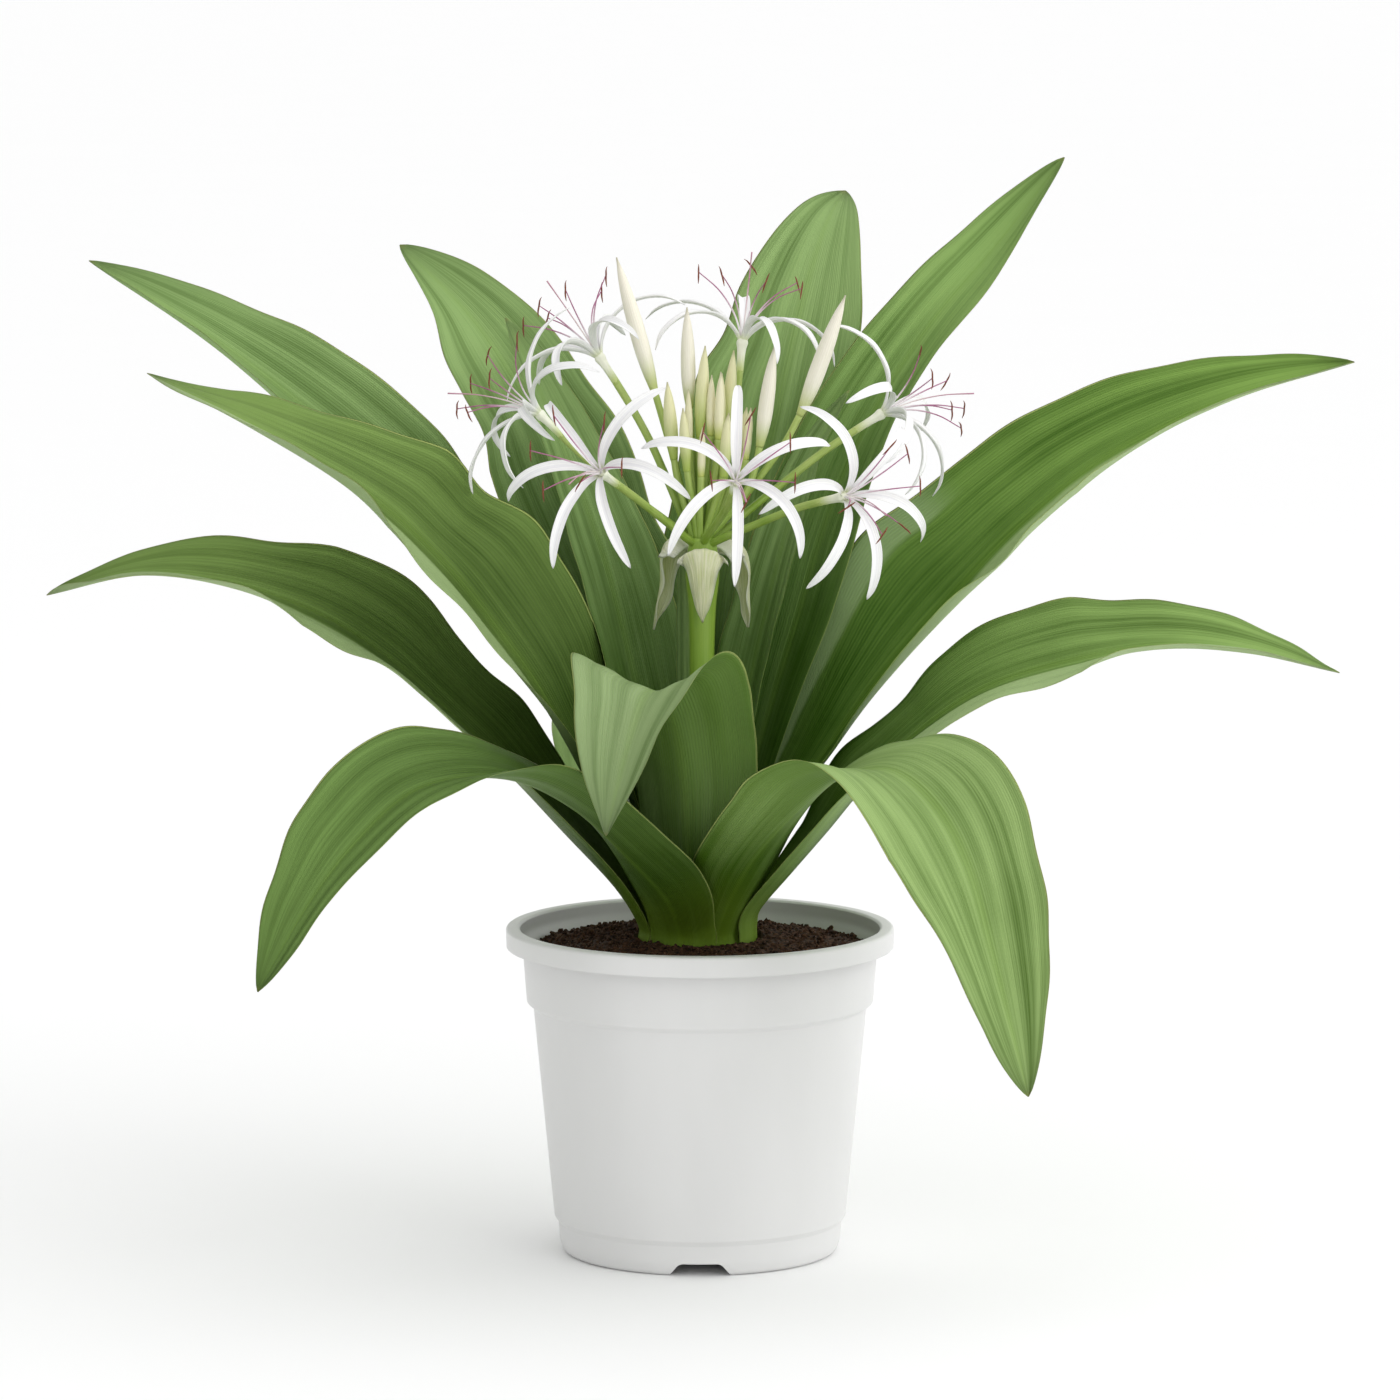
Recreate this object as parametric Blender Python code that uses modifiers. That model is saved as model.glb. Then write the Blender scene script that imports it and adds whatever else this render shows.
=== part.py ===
"""A potted crinum lily: white nursery pot, soil, bulb, arching leaves and one flowering stalk.

All driving dimensions are in millimetres. The origin is on the floor at the pot's axis, +Z is up
and the front of the plant faces -Y.
"""
import math
import random

import bmesh
import bpy
import numpy as np
from mathutils import Matrix, Vector

OBJECT_NAME = "crinum_lily"
MM = 0.001

# Turned parts
TURN_STEPS = 32
RIM_TOP = 254.0
FLOOR_TOP = 13.5
FLOOR_BOTTOM = 10.5
FOOT_RADIUS = 103.0
FOOT_INNER_RADIUS = 99.0
NOTCH_COUNT = 3
NOTCH_BOTTOM_WIDTH = 42.0
NOTCH_TOP_WIDTH = 32.0
NOTCH_HEIGHT = 10.0
NOTCH_CORNER = 3.0
NOTCH_REACH = 30.0
NOTCH_BELOW = 4.0
DRAIN_COUNT = 4
DRAIN_RADIUS = 6.0
DRAIN_CIRCLE = 60.0
FIT_GAP = 0.3
BUD_GAP = 0.6

# Soil and bulb
SOIL_AT_WALL = 235.6
SOIL_AT_NECK = 246.0
SOIL_GRAIN = 1.4
NECK_HOLE_RADIUS = 50.6
NECK_HOLE_FLOOR = 170.0
BULB_TOP = 215.0

# Leaves
LEAF_THICKNESS = 1.8
LEAF_ROWS = 13
LEAF_COLUMNS = 4
BASE_TOP = 256.0
LAYER_OUTER_RADIUS = 47.5
LAYER_PITCH = 4.0
BASE_ARC = 40.0
BLADE_SHARES = (0.4, 0.66, 0.9)

# Flower stalk
SCAPE_RADIUS = 9.5
SCAPE_TOP = Vector((2.0, 0.0, 548.0))
RECEPTACLE_RADIUS = 13.0
STALK_RADIUS = 3.0

# Blooms
TEPAL_LENGTH = 94.0
TEPAL_WIDTH = 9.4
TEPAL_THICKNESS = 1.2
TEPAL_ROOT_LEAN = 28.0
FILAMENT_LENGTH = 65.0
FILAMENT_RADIUS = 0.8
FILAMENT_ROOT_LEAN = 14.0
ANTHER_LENGTH = 15.0
ANTHER_RADIUS = 1.1
STYLE_LENGTH = 74.0
THROAT_RADIUS = 5.2
BLOOM_TUBE = 26.0

# Pot profile, radius and height, from the floor's centre up the inside and down the outside
POT_PROFILE = [
    (0.0, FLOOR_TOP), (105.5, FLOOR_TOP), (111.0, 38.0), (126.4, 192.0), (131.4, 197.5),
    (134.4, 234.0), (139.0, 243.0), (139.0, 252.4), (140.6, RIM_TOP), (148.4, RIM_TOP),
    (150.0, 252.4), (149.7, 238.4), (147.2, 238.4), (147.3, 250.0), (141.6, 250.0),
    (137.0, 235.5), (134.0, 196.0), (129.0, 192.5), (113.0, 28.0), (110.0, 24.0),
    (108.8, 9.0), (106.4, 2.0), (FOOT_RADIUS, 0.0), (FOOT_INNER_RADIUS, 0.0),
    (FOOT_INNER_RADIUS, FLOOR_BOTTOM), (0.0, FLOOR_BOTTOM),
]

SOIL_PROFILE = [
    (0.0, NECK_HOLE_FLOOR), (NECK_HOLE_RADIUS, NECK_HOLE_FLOOR), (NECK_HOLE_RADIUS, SOIL_AT_NECK),
    (72.0, 245.5), (94.0, 242.6), (114.0, 239.2), (134.0, SOIL_AT_WALL - 1.0),
    (131.0, 197.8), (126.0, 192.3), (110.7, 38.1), (105.1, FLOOR_TOP + FIT_GAP),
    (0.0, FLOOR_TOP + FIT_GAP),
]

BULB_PROFILE = [
    (0.0, BULB_TOP), (49.0, BULB_TOP), (50.2, BULB_TOP - 4.0), (46.0, 175.0),
    (36.0, NECK_HOLE_FLOOR + FIT_GAP), (0.0, NECK_HOLE_FLOOR + FIT_GAP),
]

# Each leaf: azimuth and layer of its base, half width near the neck and at the middle, edge wave,
# and at the middle, outer part and tip of the blade the cup of its halves and its roll about the
# keel, all angles in degrees; then the points that its keel passes through above the soil.
LEAVES = {
    "leaf_left_low": dict(
        azimuth=174, layer=0, width=(42, 66), wave=3.0, cup=(26, 34, 38), roll=(-16, -28, -6),
        keel=[(-66, -6, 288), (-106, -11, 332), (-150, -16, 380), (-192, -20, 422),
              (-238, -24, 464), (-290, -26, 498), (-356, -26, 522), (-428, -26, 530),
              (-500, -24, 514)]),
    "leaf_front_left": dict(
        azimuth=-102, layer=0, width=(40, 62), wave=2.5, cup=(24, 30, 30), roll=(-4, -12, -8),
        keel=[(-26, -68, 286), (-58, -86, 324), (-94, -106, 360), (-136, -132, 386),
              (-178, -158, 392), (-218, -180, 382), (-256, -200, 349), (-290, -218, 306),
              (-328, -232, 242)]),
    "leaf_back": dict(
        azimuth=90, layer=0, width=(36, 54), wave=2.5, cup=(24, 24, 24), roll=(0, 0, 0),
        keel=[(-10, 72, 284), (-32, 118, 345), (-62, 178, 380), (-86, 242, 372),
              (-102, 300, 318)]),
    "leaf_front_right": dict(
        azimuth=-70, layer=2, width=(42, 74), wave=2.0, cup=(24, 22, 24), roll=(8, 12, 4),
        keel=[(25, -54, 288), (44, -84, 324), (74, -126, 363), (106, -170, 394),
              (142, -206, 404), (174, -236, 382), (198, -252, 338), (216, -264, 273),
              (242, -274, 171)]),
    "leaf_back_right": dict(
        azimuth=78, layer=1, width=(36, 52), wave=2.5, cup=(24, 24, 24), roll=(0, 0, 0),
        keel=[(26, 60, 290), (46, 102, 368), (74, 160, 428), (102, 226, 440), (122, 296, 396)]),
    "leaf_front_folded": dict(
        azimuth=-98, layer=3, width=(40, 70), wave=1.5, cup=(28, 32, 24), roll=(0, 0, 0),
        keel=[(-7, -47, 290), (-10, -60, 334), (-12, -78, 378), (-18, -98, 420),
              (-26, -124, 448), (-42, -154, 452), (-54, -174, 424), (-70, -184, 352)]),
    "leaf_right_low": dict(
        azimuth=-6, layer=1, width=(36, 60), wave=3.0, cup=(24, 30, 38), roll=(16, 26, 8),
        keel=[(47, -9, 270), (70, -19, 299), (98, -32, 334), (128, -41, 372), (168, -50, 412),
              (218, -56, 446), (282, -64, 468), (350, -68, 480), (418, -70, 476),
              (486, -70, 460)]),
    "leaf_left": dict(
        azimuth=188, layer=2, width=(32, 74), wave=2.5, cup=(28, 26, 18), roll=(-28, -34, -8),
        keel=[(-58, -8, 298), (-86, -16, 368), (-120, -24, 435), (-154, -28, 485),
              (-198, -33, 541), (-256, -36, 594), (-338, -40, 644), (-420, -44, 686)]),
    "leaf_right": dict(
        azimuth=4, layer=3, width=(34, 74), wave=3.0, cup=(38, 36, 48), roll=(26, 34, 18),
        keel=[(44, 4, 296), (62, 8, 338), (98, 16, 388), (140, 24, 444), (194, 32, 504),
              (248, 42, 560), (318, 50, 614), (410, 55, 658), (506, 56, 686)]),
    "leaf_left_high": dict(
        azimuth=155, layer=3, width=(18, 72), wave=2.5, cup=(34, 36, 36), roll=(-22, -34, -24),
        keel=[(-37, 27, 304), (-64, 62, 372), (-114, 93, 443), (-174, 110, 519),
              (-234, 124, 580), (-300, 150, 633), (-390, 178, 698), (-484, 204, 754)]),
    "leaf_back_centre": dict(
        azimuth=79, layer=4, width=(18, 72), wave=2.0, cup=(20, 18, 12), roll=(10, 16, 8),
        keel=[(9, 50, 308), (14, 76, 367), (24, 96, 434), (33, 126, 502), (46, 152, 569),
              (62, 178, 641), (82, 204, 724), (100, 230, 780), (116, 262, 806)]),
    "leaf_back_left": dict(
        azimuth=128, layer=5, width=(25, 76), wave=2.5, cup=(26, 26, 26), roll=(-22, -38, -30),
        keel=[(-24, 31, 308), (-36, 52, 370), (-51, 81, 440), (-70, 104, 503), (-96, 120, 568),
              (-128, 142, 634), (-176, 172, 706), (-238, 212, 766)]),
    "leaf_right_high": dict(
        azimuth=40, layer=5, width=(30, 56), wave=2.5, cup=(30, 30, 34), roll=(22, 36, 28),
        keel=[(27, 23, 304), (40, 34, 364), (57, 50, 424), (76, 68, 484), (99, 92, 559),
              (130, 118, 630), (180, 148, 706), (237, 176, 772), (288, 200, 836)]),
    "leaf_inner_right": dict(
        azimuth=32, layer=6, width=(24, 34), wave=1.0, cup=(32, 30, 24), roll=(8, 14, 10),
        keel=[(21, 17, 300), (27, 24, 356), (36, 36, 420), (50, 50, 486), (68, 62, 554),
              (90, 74, 616), (116, 82, 662)]),
    "leaf_inner_left": dict(
        azimuth=144, layer=6, width=(26, 48), wave=1.5, cup=(28, 28, 26), roll=(-14, -22, -14),
        keel=[(-23, 21, 310), (-33, 31, 364), (-51, 46, 440), (-70, 64, 516), (-92, 80, 580),
              (-116, 94, 638), (-134, 104, 680), (-152, 112, 716)]),
    "leaf_inner_back": dict(
        azimuth=95, layer=7, width=(14, 20), wave=0.5, cup=(26, 24, 20), roll=(0, 0, 0),
        keel=[(-3, 23, 320), (-6, 27, 400), (-9, 35, 475), (-14, 46, 548)]),
}

# Each bloom: way its stalk takes from the umbel to the throat and way it faces. Angles on the
# face are clock angles. A tepal has the clock angle of its tip, the angle from the facing that it
# curls back to, and how far its clock angle drifts on the way. A stamen has its clock angle and
# the angle from the facing that it leans out to.
BLOOMS = {
    "bloom_left": dict(
        way=[(-10, -10, 556), (-46, -58, 590), (-75, -108, 617)], facing=(-0.30, -0.90, 0.30),
        tepals=[(39, 120, 36), (104, 142, 66), (155, 134, -5), (197, 120, -27),
                (251, 150, -60), (316, 165, -16)],
        stamens=[(32, 48), (100, 52), (165, 24), (226, 56), (278, 70), (322, 72)]),
    "bloom_front": dict(
        way=[(4, -12, 556), (20, -68, 586), (27, -128, 612)], facing=(0.10, -0.96, 0.22),
        tepals=[(4, 165, 20), (70, 148, 58), (141, 128, 88), (184, 112, 0),
                (225, 126, -64), (290, 141, -78)],
        stamens=[(10, 78), (57, 76), (100, 64), (178, 28), (256, 32), (318, 72)]),
    "bloom_right": dict(
        way=[(12, -8, 554), (72, -50, 583), (110, -88, 597)], facing=(0.40, -0.88, 0.22),
        tepals=[(334, 135, -74), (48, 160, 14), (262, 142, -76), (210, 148, 20),
                (176, 132, 41), (122, 158, 70)],
        stamens=[(29, 50), (54, 72), (90, 70), (142, 64), (174, 56), (240, 40)]),
    "bloom_far_left": dict(
        way=[(-9, 2, 556), (-77, 5, 607), (-125, 0, 653)], facing=(-0.80, -0.15, 0.50),
        tepals=[(185, 135, 45), (236, 165, -30), (140, 165, 30), (100, 160, 20),
                (350, 123, 20), (45, 172, -20)],
        stamens=[(21, 68), (85, 50), (142, 54), (205, 48), (258, 56), (300, 54)]),
    "bloom_far_right": dict(
        way=[(12, 3, 556), (92, 8, 619), (142, 10, 652)], facing=(0.80, -0.15, 0.50),
        tepals=[(285, 160, -20), (352, 148, 20), (212, 165, -20), (165, 155, -20),
                (243, 158, -20), (110, 144, 38)],
        stamens=[(96, 62), (150, 50), (181, 68), (224, 54), (275, 50), (318, 49)]),
    "bloom_back_left": dict(
        way=[(-8, 8, 558), (-35, 20, 621), (-56, 30, 659), (-79, 38, 694)],
        facing=(-0.55, 0.12, 0.82),
        tepals=[(84, 155, 20), (16, 140, -30), (150, 165, -20), (250, 137, 10),
                (205, 160, 10), (318, 134, 0)],
        stamens=[(39, 76), (89, 62), (164, 44), (212, 40), (262, 54), (331, 62)]),
    "bloom_top": dict(
        way=[(5, 7, 558), (17, 15, 599), (27, 32, 651), (33, 44, 706)],
        facing=(0.10, 0.05, 0.99),
        tepals=[(290, 138, 18), (246, 170, 5), (357, 114, -5), (90, 170, 0),
                (157, 170, -20), (124, 168, -8)],
        stamens=[(2, 36), (72, 64), (105, 72), (161, 64), (214, 60), (272, 62)]),
}

# Each bud: stalk way, then the base and the tip of the bud, and its largest radius
BUDS = {
    "bud_tall_left": dict(way=[(-5, 4, 556), (-21, 6, 619)], base=(-35, 12, 668),
                          tip=(-64, 15, 770), radius=6.2),
    "bud_tall_centre": dict(way=[(-1, 8, 558), (-5, 11, 615)], base=(-8, 14, 656),
                            tip=(-10, 11, 732), radius=5.6),
    "bud_tall_right": dict(way=[(8, 0, 556), (50, -2, 608)], base=(77, -6, 652),
                           tip=(111, -13, 743), radius=6.4),
    "bud_right": dict(way=[(7, -4, 556), (35, -6, 591)], base=(46, -8, 628),
                      tip=(57, -10, 704), radius=5.8),
    "bud_centre": dict(way=[(1, 1, 558), (0, 2, 608)], base=(0, 4, 646),
                       tip=(4, 5, 703), radius=5.0),
    "bud_left": dict(way=[(-5, -3, 556), (-15, -3, 593)], base=(-21, -4, 631),
                     tip=(-25, -5, 675), radius=5.0),
    "bud_small_front": dict(way=[(-2, -5, 556), (-6, -8, 585)], base=(-11, -14, 621),
                            tip=(-13, -17, 657), radius=4.0),
    "bud_back_right": dict(way=[(5, 7, 558), (15, 13, 607)], base=(22, 20, 644),
                           tip=(26, 22, 697), radius=4.6),
    "bud_inner": dict(way=[(4, 4, 558), (10, 8, 600)], base=(14, 12, 632),
                      tip=(17, 14, 679), radius=4.4),
    "bud_small_right": dict(way=[(3, -4, 556), (11, -9, 582)], base=(20, -19, 616),
                            tip=(21, -23, 650), radius=4.2),
    "bud_small_inner": dict(way=[(6, 0, 556), (19, 4, 585)], base=(29, 9, 616),
                            tip=(36, 12, 653), radius=4.2),
}

# Each spathe bract: azimuth and keel as distance from the stalk's axis and height
BRACTS = {
    "bract_front": dict(azimuth=-90, keel=[(13, 545), (24, 549), (30, 536), (29, 515), (25, 493)]),
    "bract_left": dict(azimuth=150, keel=[(13, 547), (26, 554), (34, 543), (36, 518), (44, 482)]),
    "bract_right": dict(azimuth=30, keel=[(13, 547), (27, 552), (38, 540), (40, 515), (41, 484)]),
}
BRACT_WIDTH = 19.0
BRACT_THICKNESS = 1.0

# Material name: colour, roughness
FINISHES = {
    "pot_plastic": ((0.78, 0.77, 0.74), 0.38),
    "potting_soil": ((0.06, 0.035, 0.02), 0.95),
    "bulb_skin": ((0.62, 0.55, 0.34), 0.7),
    "leaf_green": ((0.12, 0.27, 0.05), 0.42),
    "scape_green": ((0.30, 0.48, 0.10), 0.45),
    "bract_skin": ((0.62, 0.62, 0.42), 0.6),
    "petal_white": ((0.86, 0.87, 0.85), 0.5),
    "bud_cream": ((0.78, 0.76, 0.50), 0.5),
}


class Path:
    """A smooth curve through hand-placed points, read by its share of length."""

    def __init__(self, points):
        knots = [Vector(point) for point in points]
        knots.insert(0, 2 * knots[0] - knots[1])
        knots.append(2 * knots[-1] - knots[-2])
        samples = []
        for before, start, end, after in zip(knots, knots[1:], knots[2:], knots[3:]):
            for step in range(24):
                t = step / 24
                samples.append(0.5 * (2 * start + (end - before) * t
                                      + (2 * before - 5 * start + 4 * end - after) * t ** 2
                                      + (3 * start - before - 3 * end + after) * t ** 3))
        samples.append(knots[-2])
        self.samples = np.array(samples)
        steps = np.linalg.norm(np.diff(self.samples, axis=0), axis=1)
        self.reach = np.concatenate(([0.0], np.cumsum(steps)))
        self.length = float(self.reach[-1])

    def point(self, share):
        """Return the point at a share of the length, 0 to 1."""
        distance = share * self.length
        return Vector([float(np.interp(distance, self.reach, self.samples[:, axis]))
                       for axis in range(3)])

    def direction(self, share):
        """Return the unit tangent at a share of the length."""
        ahead = self.point(min(share + 0.01, 1.0))
        behind = self.point(max(share - 0.01, 0.0))
        return (ahead - behind).normalized()

    def part(self, start, end, count):
        """Return count points spaced evenly between two shares."""
        return [self.point(start + (end - start) * step / (count - 1)) for step in range(count)]


def clear_scene():
    """Remove everything that the file opened with."""
    for item in list(bpy.data.objects):
        bpy.data.objects.remove(item, do_unlink=True)


def make_collection(name):
    """Return a new collection linked to the scene."""
    collection = bpy.data.collections.new(name)
    bpy.context.scene.collection.children.link(collection)
    return collection


def make_material(name, colour, roughness):
    """Return a Principled material with a plain colour and roughness."""
    material = bpy.data.materials.new(name)
    material.use_nodes = True
    shader = material.node_tree.nodes["Principled BSDF"]
    shader.inputs["Base Color"].default_value = (*colour, 1.0)
    shader.inputs["Roughness"].default_value = roughness
    shader.inputs["Metallic"].default_value = 0.0
    return material


def add_object(name, mesh, collection):
    """Link a new object for the mesh."""
    item = bpy.data.objects.new(name, mesh)
    collection.objects.link(item)
    return item


def from_bmesh(name, bm, collection):
    """Turn a bmesh in millimetres into an object in metres."""
    bmesh.ops.scale(bm, vec=(MM, MM, MM), verts=bm.verts)
    mesh = bpy.data.meshes.new(name)
    bm.to_mesh(mesh)
    bm.free()
    return add_object(name, mesh, collection)


def bake(item, weld=0.01):
    """Apply an object's modifiers, join doubled points and turn the faces outward."""
    depsgraph = bpy.context.evaluated_depsgraph_get()
    mesh = bpy.data.meshes.new_from_object(item.evaluated_get(depsgraph))
    item.modifiers.clear()
    bm = bmesh.new()
    bm.from_mesh(mesh)
    if weld:
        bmesh.ops.remove_doubles(bm, verts=bm.verts, dist=weld * MM)
        bmesh.ops.recalc_face_normals(bm, faces=bm.faces)
    bm.to_mesh(mesh)
    bm.free()
    item.data = mesh
    return item


def fill_pockets(item):
    """Keep only an object's largest shell, without the pockets and slivers a join leaves."""
    bm = bmesh.new()
    bm.from_mesh(item.data)
    bmesh.ops.remove_doubles(bm, verts=bm.verts, dist=0.0005 * MM)
    bmesh.ops.triangulate(bm, faces=bm.faces)
    unseen = set(bm.faces)
    shells = []
    while unseen:
        front = [unseen.pop()]
        shell = list(front)
        while front:
            edges = [edge for edge in front.pop().edges if len(edge.link_faces) == 2]
            fresh = {face for edge in edges for face in edge.link_faces} & unseen
            unseen -= fresh
            front += fresh
            shell += fresh
        shells.append(shell)
    shells.sort(key=len)
    for shell in shells[:-1]:
        bmesh.ops.delete(bm, geom=shell, context="FACES")
    bm.to_mesh(item.data)
    bm.free()


def unite(name, pieces, collection):
    """Fuse closed pieces that overlap into one closed object."""
    others = bpy.data.collections.new(name + "_pieces")
    for piece in pieces[1:]:
        collection.objects.unlink(piece)
        others.objects.link(piece)
    union = pieces[0].modifiers.new("union", "BOOLEAN")
    union.operation = "UNION"
    union.solver = "MANIFOLD"
    union.operand_type = "COLLECTION"
    union.collection = others
    bake(pieces[0], 0.0)
    fill_pockets(pieces[0])
    for piece in list(others.objects):
        bpy.data.objects.remove(piece, do_unlink=True)
    bpy.data.collections.remove(others)
    pieces[0].name = name
    return pieces[0]


def turned(name, profile, collection, grain=0.0):
    """Turn a profile of radius and height about the Z axis."""
    bm = bmesh.new()
    points = [bm.verts.new((radius, 0.0, height)) for radius, height in profile]
    for start, end in zip(points, points[1:]):
        bm.edges.new((start, end))
    item = from_bmesh(name, bm, collection)
    screw = item.modifiers.new("turn", "SCREW")
    screw.axis = "Z"
    screw.steps = TURN_STEPS
    screw.render_steps = TURN_STEPS
    screw.use_merge_vertices = True
    screw.merge_threshold = 0.0001
    bake(item)
    if grain:
        draw = random.Random(7)
        for vertex in item.data.vertices:
            radius = math.hypot(vertex.co.x, vertex.co.y) / MM
            if NECK_HOLE_RADIUS + 5 < radius < 128 and vertex.co.z / MM > 236:
                vertex.co.z += draw.uniform(-grain, grain) * MM
    return item


def subtract(item, cutters, collection):
    """Cut the pieces in a collection out of an object."""
    for cutter in cutters:
        cutter.hide_render = True
        cutter.display_type = "WIRE"
    cut = item.modifiers.new("cut", "BOOLEAN")
    cut.operation = "DIFFERENCE"
    cut.solver = "EXACT"
    cut.operand_type = "COLLECTION"
    cut.collection = collection
    bake(item)
    for cutter in cutters:
        bpy.data.objects.remove(cutter, do_unlink=True)


def notch_cutter(angle, collection):
    """Return a block with a rounded trapezoid section that cuts one notch in the foot."""
    bm = bmesh.new()
    bmesh.ops.create_cube(bm, size=1.0)
    for vertex in bm.verts:
        width = NOTCH_BOTTOM_WIDTH + NOTCH_BELOW if vertex.co.z < 0 else NOTCH_TOP_WIDTH
        vertex.co = (vertex.co.x * width, -FOOT_RADIUS + vertex.co.y * NOTCH_REACH,
                     NOTCH_HEIGHT if vertex.co.z > 0 else -NOTCH_BELOW)
    upper = [edge for edge in bm.edges
             if all(vertex.co.z > 0 for vertex in edge.verts)
             and abs(edge.verts[0].co.x - edge.verts[1].co.x) < 1.0]
    bmesh.ops.bevel(bm, geom=upper, offset=NOTCH_CORNER, segments=2, profile=0.5,
                    affect="EDGES")
    bmesh.ops.rotate(bm, verts=bm.verts, matrix=Matrix.Rotation(angle, 3, "Z"))
    return from_bmesh("notch", bm, collection)


def drain_cutter(angle, collection):
    """Return a cylinder that cuts one drain hole in the raised floor."""
    bm = bmesh.new()
    place = Vector((DRAIN_CIRCLE * math.cos(angle), DRAIN_CIRCLE * math.sin(angle), 12.0))
    bmesh.ops.create_cone(bm, cap_ends=True, segments=12, radius1=DRAIN_RADIUS,
                          radius2=DRAIN_RADIUS, depth=12.0, matrix=Matrix.Translation(place))
    return from_bmesh("drain", bm, collection)


def make_pot(collection, cutters):
    """Build the pot with its notched foot and drain holes."""
    pot = turned("pot", POT_PROFILE, collection)
    pieces = [notch_cutter(math.tau * turn / NOTCH_COUNT, cutters) for turn in range(NOTCH_COUNT)]
    pieces += [drain_cutter(math.tau * (turn + 0.5) / DRAIN_COUNT, cutters)
               for turn in range(DRAIN_COUNT)]
    subtract(pot, pieces, cutters)
    return pot


def ease(value):
    """Return a smooth step from 0 to 1."""
    value = min(max(value, 0.0), 1.0)
    return value * value * (3.0 - 2.0 * value)


def cupped(across, half_width, turn, sharpness):
    """Return sideways and upward offset across a blade whose halves turn up from the keel."""
    steps = 8
    sideways = 0.0
    upward = 0.0
    for step in range(steps):
        reach = abs(across) * (step + 0.5) / steps
        angle = turn * (1.0 + sharpness) * reach ** sharpness
        sideways += math.cos(angle)
        upward += math.sin(angle)
    share = half_width * abs(across) / steps
    return math.copysign(sideways * share, across), upward * share


def blade(name, path, side_at, shape, collection, rows, columns, thickness):
    """Build a thin closed blade along a path.

    At a share of the length, side_at gives the level direction across the blade, and shape gives
    its half width, cup, keel sharpness, roll and wave.
    """
    bm = bmesh.new()
    bmesh.ops.create_grid(bm, x_segments=rows, y_segments=columns, size=1.0)
    for vertex in bm.verts:
        share = (vertex.co.x + 1.0) / 2.0
        across = vertex.co.y
        half_width, turn, sharpness, roll, wave = shape(share)
        tangent = path.direction(share)
        side = side_at(share)
        level = (side - tangent * side.dot(tangent)).normalized()
        normal = tangent.cross(level)
        rolled_side = level * math.cos(roll) + normal * math.sin(roll)
        rolled_normal = normal * math.cos(roll) - level * math.sin(roll)
        sideways, upward = cupped(across, half_width, turn, sharpness)
        upward += wave * across * across * math.sin(17.0 * share + 1.4 * across)
        vertex.co = path.point(share) + rolled_side * sideways + rolled_normal * upward
    bmesh.ops.triangulate(bm, faces=bm.faces)
    item = from_bmesh(name, bm, collection)
    solid = item.modifiers.new("thickness", "SOLIDIFY")
    solid.thickness = thickness * MM
    solid.offset = 0.0
    return bake(item)


def make_leaf(name, leaf, collection):
    """Build one leaf that stands on the bulb, wraps the neck and arches out."""
    radius = LAYER_OUTER_RADIUS - LAYER_PITCH * leaf["layer"]
    azimuth = math.radians(leaf["azimuth"])
    foot = Vector((radius * math.cos(azimuth), radius * math.sin(azimuth), 0.0))
    low = foot + Vector((0.0, 0.0, BULB_TOP + FIT_GAP))
    middle = foot + Vector((0.0, 0.0, BASE_TOP - 14.0))
    high = foot + Vector((0.0, 0.0, BASE_TOP))
    path = Path([low, middle, high] + leaf["keel"])
    tip = Vector(leaf["keel"][-1]) - foot
    heading = Vector((tip.x, tip.y, 0.0)).normalized()
    base_half = math.radians(BASE_ARC) * radius
    neck_half, blade_half = leaf["width"]
    base_share = (BASE_TOP - BULB_TOP) / path.length
    foot_side = Vector((0.0, 0.0, 1.0)).cross(foot.normalized())
    side = Vector((0.0, 0.0, 1.0)).cross(heading)

    def shape(share):
        half_width = base_half + (neck_half - base_half) * ease((share - base_share) / 0.12)
        half_width += (blade_half - neck_half) * ease((share - base_share - 0.06) / 0.36)
        half_width = half_width * (1.0 - share ** 3.6) ** 0.8 + 1.5 * share
        turn = math.radians(np.interp(share, (base_share, *BLADE_SHARES),
                                      (BASE_ARC / 2.0, *leaf["cup"])))
        sharpness = 1.0 - 0.6 * ease((share - base_share) / 0.3)
        roll = math.radians(np.interp(share, (base_share, *BLADE_SHARES), (0.0, *leaf["roll"])))
        return half_width, turn, sharpness, roll, leaf["wave"] * ease((share - 0.3) / 0.3)

    def side_at(share):
        blend = ease((share - base_share) / 0.3)
        return (foot_side * (1.0 - blend) + side * blend).normalized()

    return blade(name, path, side_at, shape, collection, LEAF_ROWS, LEAF_COLUMNS, LEAF_THICKNESS)


def make_tube(name, points, radii, collection, roundness=1):
    """Build a closed round tube along points, with radii spread evenly over its length."""
    curve = bpy.data.curves.new(name, "CURVE")
    curve.dimensions = "3D"
    curve.bevel_depth = MM
    curve.bevel_resolution = roundness
    curve.use_fill_caps = True
    spline = curve.splines.new("POLY")
    spline.points.add(len(points) - 1)
    shares = np.linspace(0.0, 1.0, len(points))
    widths = np.interp(shares, np.linspace(0.0, 1.0, len(radii)), radii)
    for knot, point, width in zip(spline.points, points, widths):
        knot.co = (*(Vector(point) * MM), 1.0)
        knot.radius = float(width)
    holder = bpy.data.objects.new(name, curve)
    collection.objects.link(holder)
    depsgraph = bpy.context.evaluated_depsgraph_get()
    mesh = bpy.data.meshes.new_from_object(holder.evaluated_get(depsgraph))
    bpy.data.objects.remove(holder, do_unlink=True)
    return bake(add_object(name, mesh, collection))


def face_axes(facing):
    """Return the facing and the up and right directions on a bloom's face."""
    facing = Vector(facing).normalized()
    reference = Vector((0.0, 0.0, 1.0)) if facing.z < 0.75 else Vector((0.0, 1.0, 0.0))
    upward = (reference - facing * reference.dot(facing)).normalized()
    return facing, upward, upward.cross(facing)


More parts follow.
